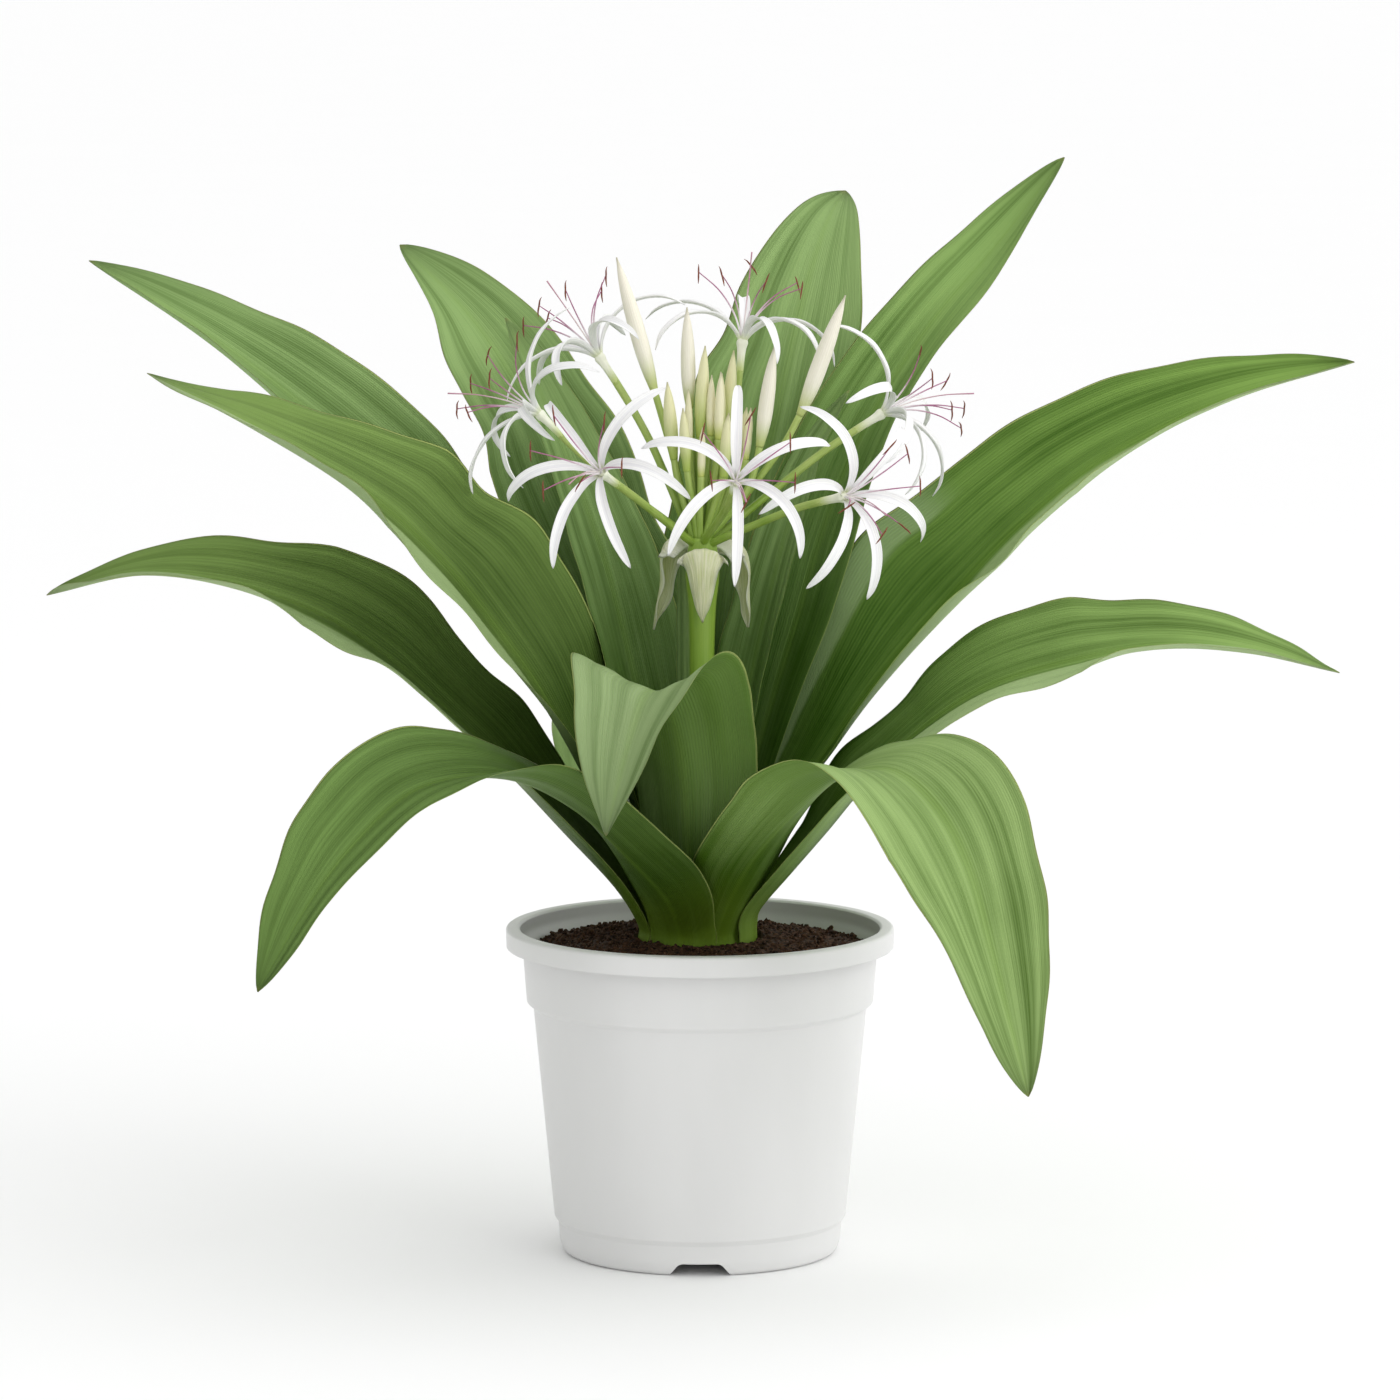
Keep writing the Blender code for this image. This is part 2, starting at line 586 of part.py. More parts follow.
def outward_at(face, clock):
    """Return the direction on a bloom's face at a clock angle in degrees."""
    angle = math.radians(clock)
    return face[1] * math.cos(angle) + face[2] * math.sin(angle)


def sweep_out(start, face, clocks, leans, length, count=9):
    """Return points of a curve whose clock angle and lean from the facing change evenly."""
    points = [start.copy()]
    for step in range(count):
        share = (step + 0.5) / count
        lean = math.radians(leans[0] + (leans[1] - leans[0]) * share)
        outward = outward_at(face, clocks[0] + (clocks[1] - clocks[0]) * share)
        heading = face[0] * math.cos(lean) + outward * math.sin(lean)
        points.append(points[-1] + heading * length / count)
    return points


def make_tepal(throat, face, tepal, collection):
    """Build one narrow tepal that sweeps out of the throat and curls back."""
    clock, curl, drift = tepal
    clocks = (clock - drift / 2, clock + drift / 2)
    root = throat - face[0] * 4.0 + outward_at(face, clocks[0]) * 1.6
    path = Path(sweep_out(root, face, clocks, (TEPAL_ROOT_LEAN, curl), TEPAL_LENGTH))

    def shape(share):
        half_width = TEPAL_WIDTH / 2 * (0.18 + 0.82 * ease(share / 0.4))
        half_width = half_width * (1.0 - share ** 5) ** 0.7 + 0.7
        return half_width, math.radians(22.0), 0.8, 0.0, 0.0

    def side_at(share):
        return face[0].cross(outward_at(face, clocks[0] + drift * share))

    return blade("tepal", path, side_at, shape, collection, 5, 2, TEPAL_THICKNESS)


def make_stamen(throat, face, stamen, turn, collection):
    """Build one filament with its anther lying across the end."""
    clock, lean = stamen
    points = sweep_out(throat - face[0] * 3.0, face, (clock, clock), (FILAMENT_ROOT_LEAN, lean),
                       FILAMENT_LENGTH, 3)
    end = points[-1]
    across = Matrix.Rotation(turn, 3, face[0]) @ face[0].cross(outward_at(face, clock))
    filament = make_tube("filament", points, [FILAMENT_RADIUS], collection, 0)
    anther = make_tube("anther", [end - across * ANTHER_LENGTH / 2,
                                  end - face[0] * 0.3, end + across * ANTHER_LENGTH / 2],
                       [0.5, ANTHER_RADIUS, 0.5], collection, 0)
    return [filament, anther]


def make_bloom(name, bloom, collection, draw):
    """Build one open bloom: throat, six tepals, six stamens and a style, fused."""
    path = Path(bloom["way"])
    face = face_axes(bloom["facing"])
    throat = path.point(1.0)
    start = 1.0 - BLOOM_TUBE / path.length
    tube_points = path.part(start + BUD_GAP / path.length, 1.0, 5)
    pieces = [make_tube(name, tube_points + [throat + face[0] * 3.0],
                        [STALK_RADIUS, STALK_RADIUS, 3.4, THROAT_RADIUS], collection)]
    for tepal in bloom["tepals"]:
        pieces.append(make_tepal(throat, face, tepal, collection))
    for stamen in bloom["stamens"]:
        pieces += make_stamen(throat, face, stamen, draw.uniform(-0.9, 0.9), collection)
    style = sweep_out(throat - face[0] * 3.0, face, (180.0, 180.0), (5.0, 32.0), STYLE_LENGTH, 3)
    pieces.append(make_tube("style", style, [FILAMENT_RADIUS], collection, 0))
    return unite(name, pieces, collection)


def make_bud(name, bud, collection):
    """Build one closed bud above its stalk."""
    path = Path(bud["way"] + [bud["base"], bud["tip"]])
    start = 1.0 - (Vector(bud["tip"]) - Vector(bud["base"])).length / path.length
    radius = bud["radius"]
    points = path.part(start + BUD_GAP / path.length, 1.0, 8)
    return make_tube(name, points, [STALK_RADIUS, radius * 0.82, radius, radius, radius * 0.94,
                                    radius * 0.78, radius * 0.5, 0.8], collection)


def make_scape(collection):
    """Build the flowering stalk, its receptacle and the green stalks of blooms and buds."""
    foot = Vector((0.0, 0.0, BULB_TOP + FIT_GAP))
    steps = [foot + (SCAPE_TOP - foot) * share for share in (0.0, 0.25, 0.5, 0.75, 0.96)]
    pieces = [make_tube("scape", steps + [SCAPE_TOP, SCAPE_TOP + Vector((0.0, 0.0, 8.0))],
                        [SCAPE_RADIUS] * 5 + [RECEPTACLE_RADIUS, RECEPTACLE_RADIUS * 0.9],
                        collection, 3)]
    for bloom in BLOOMS.values():
        path = Path(bloom["way"])
        points = path.part(0.0, 1.0 - BLOOM_TUBE / path.length, 4)
        pieces.append(make_tube("stalk", [SCAPE_TOP] + points, [STALK_RADIUS], collection))
    for bud in BUDS.values():
        path = Path(bud["way"] + [bud["base"], bud["tip"]])
        end = 1.0 - (Vector(bud["tip"]) - Vector(bud["base"])).length / path.length
        points = path.part(0.0, end, 4)
        pieces.append(make_tube("stalk", [SCAPE_TOP] + points, [STALK_RADIUS * 0.9],
                                collection, 0))
    return unite("scape", pieces, collection)


def make_bract(name, bract, collection):
    """Build one papery bract that hangs from under the umbel."""
    azimuth = math.radians(bract["azimuth"])
    outward = Vector((math.cos(azimuth), math.sin(azimuth), 0.0))
    axis = Vector((SCAPE_TOP.x, SCAPE_TOP.y, 0.0))
    path = Path([axis + outward * reach + Vector((0.0, 0.0, height))
                 for reach, height in bract["keel"]])

    def shape(share):
        half_width = BRACT_WIDTH * (0.62 + 0.38 * ease(share / 0.25)) * (1.0 - share) ** 0.7 + 1.0
        return half_width, math.radians(-30.0), 1.0, 0.0, 1.2

    side = Vector((0.0, 0.0, 1.0)).cross(outward)
    return blade(name, path, lambda share: side, shape, collection, 7, 4, BRACT_THICKNESS)


def main():
    """Build every sub-part and give each its material."""
    clear_scene()
    collection = make_collection(OBJECT_NAME)
    cutters = make_collection(OBJECT_NAME + "_cutters")
    materials = {name: make_material(name, colour, roughness)
                 for name, (colour, roughness) in FINISHES.items()}
    draw = random.Random(11)
    finished = [(make_pot(collection, cutters), "pot_plastic"),
                (turned("soil", SOIL_PROFILE, collection, SOIL_GRAIN), "potting_soil"),
                (turned("bulb", BULB_PROFILE, collection), "bulb_skin"),
                (make_scape(collection), "scape_green")]
    for name, leaf in LEAVES.items():
        finished.append((make_leaf(name, leaf, collection), "leaf_green"))
    for name, bract in BRACTS.items():
        finished.append((make_bract(name, bract, collection), "bract_skin"))
    for name, bloom in BLOOMS.items():
        finished.append((make_bloom(name, bloom, collection, draw), "petal_white"))
    for name, bud in BUDS.items():
        finished.append((make_bud(name, bud, collection), "bud_cream"))
    bpy.data.collections.remove(cutters)
    for item, finish in finished:
        item.data.materials.clear()
        item.data.materials.append(materials[finish])


main()
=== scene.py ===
"""Looks of a potted crinum lily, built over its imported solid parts.

Sizes are in millimetres unless a name says otherwise. Every mesh is shaped in millimetres and
scaled to metres when it becomes an object. The origin is on the floor at the pot's axis, +Z is up
and the front of the plant faces -Y.
"""
from __future__ import annotations

import logging
import math
import random
from collections.abc import Callable, Sequence
from dataclasses import dataclass
from enum import Enum, IntEnum
from functools import lru_cache
from typing import TypeVar

import bmesh
import bpy
import numpy as np
from mathutils import Matrix, Vector, noise


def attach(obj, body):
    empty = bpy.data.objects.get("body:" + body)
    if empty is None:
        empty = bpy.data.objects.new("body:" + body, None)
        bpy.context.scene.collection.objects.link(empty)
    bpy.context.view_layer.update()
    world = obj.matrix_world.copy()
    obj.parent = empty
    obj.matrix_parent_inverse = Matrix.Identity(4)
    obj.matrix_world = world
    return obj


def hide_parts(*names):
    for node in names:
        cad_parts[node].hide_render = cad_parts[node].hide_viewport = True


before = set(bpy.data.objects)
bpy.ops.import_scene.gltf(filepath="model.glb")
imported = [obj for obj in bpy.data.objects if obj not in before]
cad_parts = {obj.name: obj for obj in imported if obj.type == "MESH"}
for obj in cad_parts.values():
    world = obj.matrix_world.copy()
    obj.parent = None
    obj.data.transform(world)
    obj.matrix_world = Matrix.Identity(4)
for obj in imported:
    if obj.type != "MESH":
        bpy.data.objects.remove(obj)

log = logging.getLogger("crinum_lily")

MM = 0.001
BODY = "root"
UV_NAME = "along_and_around"
UP = Vector((0.0, 0.0, 1.0))
FIT_GAP = 0.3
BULB_TOP = 215.0
STALK_RADIUS = 3.0
STALK_LAP = 1.5
TUBE_LENGTH = 26.0
CREAM_BUD_RADIUS = 5.4
STAMEN_SEED = 11

Point = tuple[float, float, float]
Pair = tuple[float, float]
Faces = tuple[int, int]
Knot = TypeVar("Knot", float, Vector)


class LeafTone(Enum):
    """Which of the leaf finishes a leaf has."""

    PALE = "pale"
    FOLDED = "folded"
    MIDDLE = "middle"
    DEEP = "deep"
    # Painted shade: darker copy of the leaf colours, for a leaf on the shaded left side.
    SHADE = "shade"
    # Painted shade: darker leaf colours for the leaves on the shaded left side, with a turned
    # underside.
    LEFTWARD = "leftward"
    RIGHTWARD = "rightward"
    EDGED = "edged"


class Slot(Enum):
    """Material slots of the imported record."""

    POT = "pot_plastic"
    SOIL = "potting_soil"
    BULB = "bulb_skin"
    LEAF = "leaf_green"
    SCAPE = "scape_green"
    BRACT = "bract_skin"
    PETAL = "petal_white"
    BUD = "bud_cream"


@dataclass(frozen=True)
class Rim:
    """How one edge of a blade strays from an even outline, at even steps up to its tip.

    The reach is in hundredths of the half width, the lift is in millimetres. The foot of the
    blade, up to the share of its length named starts_at, keeps its even outline.
    """

    reach: tuple[float, ...] = (0.0,) * 8
    lift: tuple[float, ...] = (0.0,) * 8
    starts_at: float = 0.2

    def at(self, share: float) -> Pair:
        """Read the rim.

        Args:
            share: Where along the blade, 0 to 1.

        Returns:
            The reach as a share of the half width, and the lift.
        """
        step = (share - self.starts_at) / (1.0 - self.starts_at)
        if step <= 0.0:
            return 0.0, 0.0
        return flowing((0.0, *self.reach), step) / 100.0, flowing((0.0, *self.lift), step)


@dataclass(frozen=True)
class LeafPlan:
    """One leaf: its base on the bulb and the blade along its keel, with all angles in degrees.

    The width holds half the blade's width at the neck and at its widest. The cup and roll are
    given at the middle, at the outer part and at the tip of the blade. The rims are those of its
    right and left edge, seen from its foot. The base wraps the neck by its arc to each side.
    """

    name: str
    tone: LeafTone
    azimuth: float
    layer: int
    width: Pair
    wave: float
    cup: tuple[float, float, float]
    roll: tuple[float, float, float]
    keel: tuple[Point, ...]
    rims: tuple[Rim, Rim] = (Rim(), Rim())
    base_arc: float = 40.0


@dataclass(frozen=True)
class BloomPlan:
    """One open bloom: its stalk's way, its facing, and clock angles of its tepals and stamens.

    A tepal has its clock angle, the angle it curls back to and the drift of its clock angle. A
    stamen has its clock angle and the angle it leans out to.
    """

    name: str
    way: tuple[Point, ...]
    facing: Point
    tepals: tuple[tuple[float, float, float], ...]
    stamens: tuple[Pair, ...]

    def on_stalk(self) -> tuple[Path, float]:
        """Return the way up to the throat, and the share of it where the tube begins."""
        path = Path(self.way)
        return path, 1.0 - TUBE_LENGTH / path.length


@dataclass(frozen=True)
class BudPlan:
    """One closed bud: its stalk's way, its base and tip, and its largest radius."""

    name: str
    way: tuple[Point, ...]
    base: Point
    tip: Point
    radius: float

    def on_stalk(self) -> tuple[Path, float]:
        """Return the way up to the bud's tip, and the share of it where the bud begins."""
        path = Path([*self.way, self.base, self.tip])
        return path, 1.0 - (Vector(self.tip) - Vector(self.base)).length / path.length


@dataclass(frozen=True)
class BractPlan:
    """One papery bract: its azimuth, and its keel as distance from the stalk's axis and height."""

    name: str
    azimuth: float
    keel: tuple[Pair, ...]


LEAVES: tuple[LeafPlan, ...] = (
    LeafPlan(
        "leaf_left_low", LeafTone.LEFTWARD, azimuth=174, layer=0, width=(42, 66), wave=3,
        cup=(26, 34, 38), roll=(-16, -28, -6),
        keel=((-66, -6, 288), (-106, -11, 332), (-150, -16, 380), (-192, -20, 422),
              (-238, -24, 464), (-290, -26, 498), (-356, -26, 522), (-428, -26, 530),
              (-500, -24, 514)),
        rims=(Rim((3, 5, 6, -1, -3, 5, 7, 6, 2, 1, -1, -5, -6, -4),
                  (1.7, 3.2, 3.8, -0.2, -1.9, 2.1, 3, 2.7, -0.3, 0.2, -2.1, -7, -6.1, -1.6)),
              Rim((-1, -1, -2, -3, -2, -1, 0, -1, -3, -5, -7, -6, -3, 2),
                  (-1.4, -3.8, -7.5, -10.7, -8.9, -7, -15.9, -16.1, -9.3, -11.5, -12.6, -10.5,
                   -4.1, 8.3)))),
    LeafPlan(
        "leaf_front_left", LeafTone.SHADE, azimuth=-110, layer=0, width=(40, 62), wave=2.5,
        cup=(24, 30, 30), roll=(-4, -12, -8), base_arc=35,
        keel=((-26, -68, 286), (-58, -86, 324), (-94, -106, 360), (-136, -132, 386),
              (-178, -158, 392), (-218, -180, 382), (-256, -200, 349), (-290, -218, 306),
              (-328, -232, 242)),
        rims=(Rim((-1, -2, -4, -6, -6, -1, 4, 9, 12, 14, 7, 5, 1, 0),
                  (-0.3, -1, -2.6, -4.9, -6.5, -2.9, 1.2, 3.9, 5.5, 6.4, 2.8, 2, 0.7, 1)),
              Rim((0, 0, 0, 0, 0, 0, 1, 2, 3, 4, 3, 2, 1, 1),
                  (0.3, 0.6, 0.6, -0.1, -2.2, -6.5, -12.6, -15, -14.9, -16.1, -10.1, -8.5,
                   -6.9, -8.7)))),
    LeafPlan(
        "leaf_back", LeafTone.DEEP, azimuth=90, layer=0, width=(36, 54), wave=2.5,
        cup=(24, 24, 24), roll=(0, 0, 0),
        keel=((-10, 72, 284), (-32, 118, 345), (-62, 178, 380), (-86, 242, 372),
              (-102, 300, 318))),
    LeafPlan(
        "leaf_front_right", LeafTone.PALE, azimuth=-70, layer=2, width=(42, 74), wave=2,
        cup=(24, 22, 24), roll=(8, 12, 4),
        keel=((25, -54, 288), (44, -84, 324), (74, -126, 363), (106, -170, 394),
              (142, -206, 404), (174, -236, 382), (198, -252, 338), (216, -264, 273),
              (242, -274, 171)),
        rims=(Rim((-1, -1, 1, 5, 12, 22, 30, 31, 30, 21, 15, 14, 12, 9),
                  (0.4, 0.5, -0.1, -1.9, -5.7, -11, -15, -14.2, -13.8, -9.8, -9.5, -12.6,
                   -12.4, -11.7)),
              Rim((-3, -6, -11, -15, -15, -6, 1, -2, -6, -2, 1, 2, 2, 1),
                  (-1.6, -4.3, -8.6, -12.2, -13.3, -7.9, -0.4, 0.1, -0.6, 0.5, 1.1, 1.8, 1.3,
                   0.4)))),
    LeafPlan(
        "leaf_back_right", LeafTone.DEEP, azimuth=78, layer=1, width=(36, 52), wave=2.5,
        cup=(24, 24, 24), roll=(0, 0, 0),
        keel=((26, 60, 290), (46, 102, 368), (74, 160, 428), (102, 226, 440),
              (122, 296, 396))),
    LeafPlan(
        "leaf_front_folded", LeafTone.FOLDED, azimuth=-98, layer=3, width=(40, 70), wave=1.5,
        cup=(28, 32, 24), roll=(0, 0, 0),
        keel=((-7, -47, 290), (-10, -60, 334), (-12, -78, 378), (-18, -98, 420),
              (-27, -125, 447), (-35, -141, 455), (-43, -155, 450), (-50, -166, 430),
              (-58, -175, 402), (-70, -184, 352)),
        rims=(Rim((1.5, 3, 4.5, 6, 7.5, 9, 12, 18, 30, 45, 8, 2, 0, -1, -4, -7),
                  (0.3, 0.7, 1.1, 1.5, 1, -1, -4, -9, -14, -12.5, 0, 4, 1, -2.3, -9, -15.7)),
              Rim((-4, -6, -5, 10, 27, 0, -12, -27),
                  (-1.6, -3.7, -6.1, -6.1, -3.2, 10.1, 11, 11.4)))),
    LeafPlan(
        "leaf_right_low", LeafTone.RIGHTWARD, azimuth=-6, layer=1, width=(36, 60), wave=3,
        cup=(24, 30, 38), roll=(16, 26, 8),
        keel=((47, -9, 270), (70, -19, 299), (98, -32, 334), (128, -41, 372), (168, -50, 412),
              (218, -56, 446), (282, -64, 468), (350, -68, 480), (418, -70, 476),
              (486, -70, 460)),
        rims=(Rim((0, -1, -1, -2, -2, 0, 1, 1, 0, -3, -4, -5, -5, -3),
                  (-0.6, -2.5, -6.6, -12.7, -16.5, -15.3, -17.9, -9, 0.5, -3.5, -8, -11.1,
                   -9.7, -6.3)),
              Rim((2, 1, -8, -10, -2, 5, 8, 6, -1, -3, -1, -1, -1, -4),
                  (3.8, 4.7, -3.5, -7.4, -2.1, 2.4, 3.7, 2.5, -1.5, -1.3, 0.2, 0.7, 0.8,
                   -6.2)))),
    LeafPlan(
        "leaf_left", LeafTone.LEFTWARD, azimuth=188, layer=2, width=(32, 74), wave=2.5,
        cup=(28, 26, 18), roll=(-28, -34, -8),
        keel=((-58, -8, 298), (-86, -16, 368), (-120, -24, 435), (-154, -28, 485),
              (-198, -33, 541), (-256, -36, 594), (-338, -40, 644), (-420, -44, 686)),
        rims=(Rim((2, 6, 10, 12, 16, 18, 8, 16, 11, 7, 4, 3, -2, -4),
                  (0.8, 1.9, 3.6, 4.4, 5.4, 6, 0.9, 5, 3.1, 2.5, 2.7, 1.7, -4.2, -4.3)),
              Rim((0, 1, 2, 3, 3, 3, 3, -1, -3, -3, -2, -1, -1, 0),
                  (0.6, 0.7, -0.9, -5.7, -6.9, -3.3, -5.1, 4.4, 7.9, 3.4, 0.5, -2, -3.8,
                   -6.6)))),
    LeafPlan(
        "leaf_right", LeafTone.EDGED, azimuth=4, layer=3, width=(34, 74), wave=3,
        cup=(38, 36, 48), roll=(26, 34, 18),
        keel=((44, 4, 296), (62, 8, 338), (98, 16, 388), (140, 24, 444), (194, 32, 504),
              (248, 42, 560), (318, 50, 614), (410, 55, 658), (506, 56, 686)),
        rims=(Rim((-1, -1, -1, 0, 1, 1, -3, -6, -6, -6, -7, -9, -7, -5),
                  (-7.2, -4.2, -2, 2.8, 1.8, -8.7, 0.8, 6.1, 1.1, -5.1, -10.8, -15.4, -12.9,
                   -8.1)),
              Rim((0, 0, 7, 21, 27, 14, 11, 8, 3, 1, -1, -1, 0, -1),
                  (-0.1, -0.1, -0.1, 0.2, 0.9, 2, 3, 2.1, 0.5, -0.1, -0.2, 0, 1.3, -0.1)))),
    LeafPlan(
        "leaf_left_high", LeafTone.MIDDLE, azimuth=155, layer=3, width=(18, 72), wave=2.5,
        cup=(34, 36, 36), roll=(-22, -34, -24),
        keel=((-37, 27, 304), (-64, 62, 372), (-114, 93, 443), (-174, 110, 519),
              (-234, 124, 580), (-300, 150, 633), (-390, 178, 698), (-484, 204, 754)),
        rims=(Rim((-1, -2, -6, -13, -21, -26, -12, -4, 3, 4, -1, -5, -5, -7),
                  (0.1, -0.1, -0.9, -2.6, -4.9, -6.4, -2.3, -0.3, 1.5, 1, -1.5, -3, -2.6,
                   -4.3)),
              Rim((0, 0, 0, 0, 0, -1, -2, -4, -6, -6, -4, -3, -1, 0),
                  (0, -0.1, -0.2, -0.3, -0.2, 0.2, 1.3, 3.4, 6.2, 7.1, 7.1, 5.8, 6, 3.4)))),
    LeafPlan(
        "leaf_back_centre", LeafTone.MIDDLE, azimuth=79, layer=4, width=(18, 72), wave=2,
        cup=(20, 18, 12), roll=(10, 16, 8),
        keel=((9, 50, 308), (14, 76, 367), (24, 96, 434), (33, 126, 502), (46, 152, 569),
              (62, 178, 641), (82, 204, 724), (100, 230, 780), (116, 262, 806)),
        rims=(Rim((0, 0, 0, -1, -1, -1, 0, 3, 10, 20, 31, 34, 39, 34),
                  (0, 0, 0, 0.1, 0.1, 0.1, 0, -0.4, -1.1, -2.2, -2.9, -1.7, -1, -0.3)),
              Rim((0, -1, -1, -1, 1, 3, 9, 15, 22, 11, 20, 23, 20, 15),
                  (0, -0.1, -0.1, -0.1, -0.1, 0.2, 0.9, 2, 3.4, 2.2, 5.7, 8.9, 10.3, 12.2)))),
    LeafPlan(
        "leaf_back_left", LeafTone.MIDDLE, azimuth=128, layer=5, width=(25, 76), wave=2.5,
        cup=(26, 26, 26), roll=(-22, -38, -30),
        keel=((-24, 31, 308), (-36, 52, 370), (-51, 81, 440), (-70, 104, 503),
              (-96, 120, 568), (-128, 142, 634), (-176, 172, 706), (-238, 212, 766)),
        rims=(Rim((0, -1, -4, -10, -17, -23, -14, -6, -10, -4, -2, -2, 1, 4),
                  (0.1, 0, -0.3, -0.9, -1.8, -2.6, -1.7, -0.6, -1.1, 0.2, -0.2, -0.4, 0.8,
                   1.9)),
              Rim((0, 0, 0, 1, 4, 7, 10, 8, -1, 11, 18, 2, -9, -11),
                  (0, 0, 0, -0.1, -0.2, -0.3, -0.4, 0, 0.8, -2.3, -2.6, 3.8, 5.8, 2.4)))),
    LeafPlan(
        "leaf_right_high", LeafTone.DEEP, azimuth=40, layer=5, width=(30, 56), wave=2.5,
        cup=(30, 30, 34), roll=(22, 36, 28),
        keel=((27, 23, 304), (40, 34, 364), (57, 50, 424), (76, 68, 484), (99, 92, 559),
              (130, 118, 630), (180, 148, 706), (237, 176, 772), (288, 200, 836)),
        rims=(Rim((1, 1, 1, -1, -6, -13, -23, -30, -25, -12, 1, 3, 3, 3),
                  (-0.2, -0.3, -0.3, 0, 1.2, 3.6, 7.1, 9.5, 7.3, 0.4, -5.5, -2.5, -1, -0.4)),
              Rim((0, 0, 0, 0, 0, 0, -1, -2, -4, -4, -1, 4, 6, 6),
                  (0, 0, 0, 0, 0, -0.1, -0.3, -0.7, -1.1, -1, 0.6, 3, 3.8, 2.9)))),
    LeafPlan(
        "leaf_inner_right", LeafTone.MIDDLE, azimuth=32, layer=6, width=(24, 34), wave=1,
        cup=(32, 30, 24), roll=(8, 14, 10),
        keel=((21, 17, 300), (27, 24, 356), (36, 36, 420), (50, 50, 486), (68, 62, 554),
              (90, 74, 616), (116, 82, 662))),
    LeafPlan(
        "leaf_inner_left", LeafTone.MIDDLE, azimuth=144, layer=6, width=(26, 48), wave=1.5,
        cup=(28, 28, 26), roll=(-14, -22, -14),
        keel=((-23, 21, 310), (-33, 31, 364), (-51, 46, 440), (-70, 64, 516), (-92, 80, 580),
              (-116, 94, 638), (-134, 104, 680), (-152, 112, 716))),
    LeafPlan(
        "leaf_inner_back", LeafTone.MIDDLE, azimuth=95, layer=7, width=(14, 20), wave=0.5,
        cup=(26, 24, 20), roll=(0, 0, 0),
        keel=((-3, 23, 320), (-6, 27, 400), (-9, 35, 475), (-14, 46, 548))),
)

BLOOMS: tuple[BloomPlan, ...] = (
    BloomPlan("bloom_left", way=((-10, -10, 556), (-46, -58, 590), (-75, -108, 617)),
              facing=(-0.3, -0.9, 0.3),
              tepals=((39, 120, 36), (104, 142, 66), (155, 134, -5), (197, 120, -27),
                      (251, 150, -60), (316, 165, -16)),
              stamens=((32, 48), (100, 52), (165, 24), (226, 56), (278, 70), (322, 72))),
    BloomPlan("bloom_front", way=((4, -12, 556), (20, -68, 586), (27, -128, 612)),
              facing=(0.1, -0.96, 0.22),
              tepals=((4, 165, 20), (70, 148, 58), (141, 128, 88), (184, 112, 0),
                      (225, 126, -64), (290, 141, -78)),
              stamens=((10, 78), (57, 76), (100, 64), (178, 28), (256, 32), (318, 72))),
    BloomPlan("bloom_right", way=((12, -8, 554), (72, -50, 583), (110, -88, 597)),
              facing=(0.4, -0.88, 0.22),
              tepals=((334, 135, -74), (48, 160, 14), (262, 142, -76), (210, 148, 20),
                      (176, 132, 41), (122, 158, 70)),
              stamens=((29, 50), (54, 72), (90, 70), (142, 64), (174, 56), (240, 40))),
    BloomPlan("bloom_far_left", way=((-9, 2, 556), (-77, 5, 607), (-125, 0, 653)),
              facing=(-0.8, -0.15, 0.5),
              tepals=((185, 135, 45), (236, 165, -30), (140, 165, 30), (100, 160, 20),
                      (350, 123, 20), (45, 172, -20)),
              stamens=((21, 68), (85, 50), (142, 54), (205, 48), (258, 56), (300, 54))),
    BloomPlan("bloom_far_right", way=((12, 3, 556), (92, 8, 619), (142, 10, 652)),
              facing=(0.8, -0.15, 0.5),
              tepals=((285, 160, -20), (352, 148, 20), (212, 165, -20), (165, 155, -20),
                      (243, 158, -20), (110, 144, 38)),
              stamens=((96, 62), (150, 50), (181, 68), (224, 54), (275, 50), (318, 49))),
    BloomPlan("bloom_back_left", way=((-8, 8, 558), (-35, 20, 621), (-56, 30, 659), (-79, 38, 694)),
              facing=(-0.55, 0.12, 0.82),
              tepals=((84, 155, 20), (16, 140, -30), (150, 165, -20), (250, 137, 10),
                      (205, 160, 10), (318, 134, 0)),
              stamens=((39, 76), (89, 62), (164, 44), (212, 40), (262, 54), (331, 62))),
    BloomPlan("bloom_top", way=((5, 7, 558), (17, 15, 599), (27, 32, 651), (33, 44, 706)),
              facing=(0.1, 0.05, 0.99),
              tepals=((290, 138, 18), (246, 170, 5), (357, 114, -5), (90, 170, 0),
                      (157, 170, -20), (124, 168, -8)),
              stamens=((2, 36), (72, 64), (105, 72), (161, 64), (214, 60), (272, 62))),
)

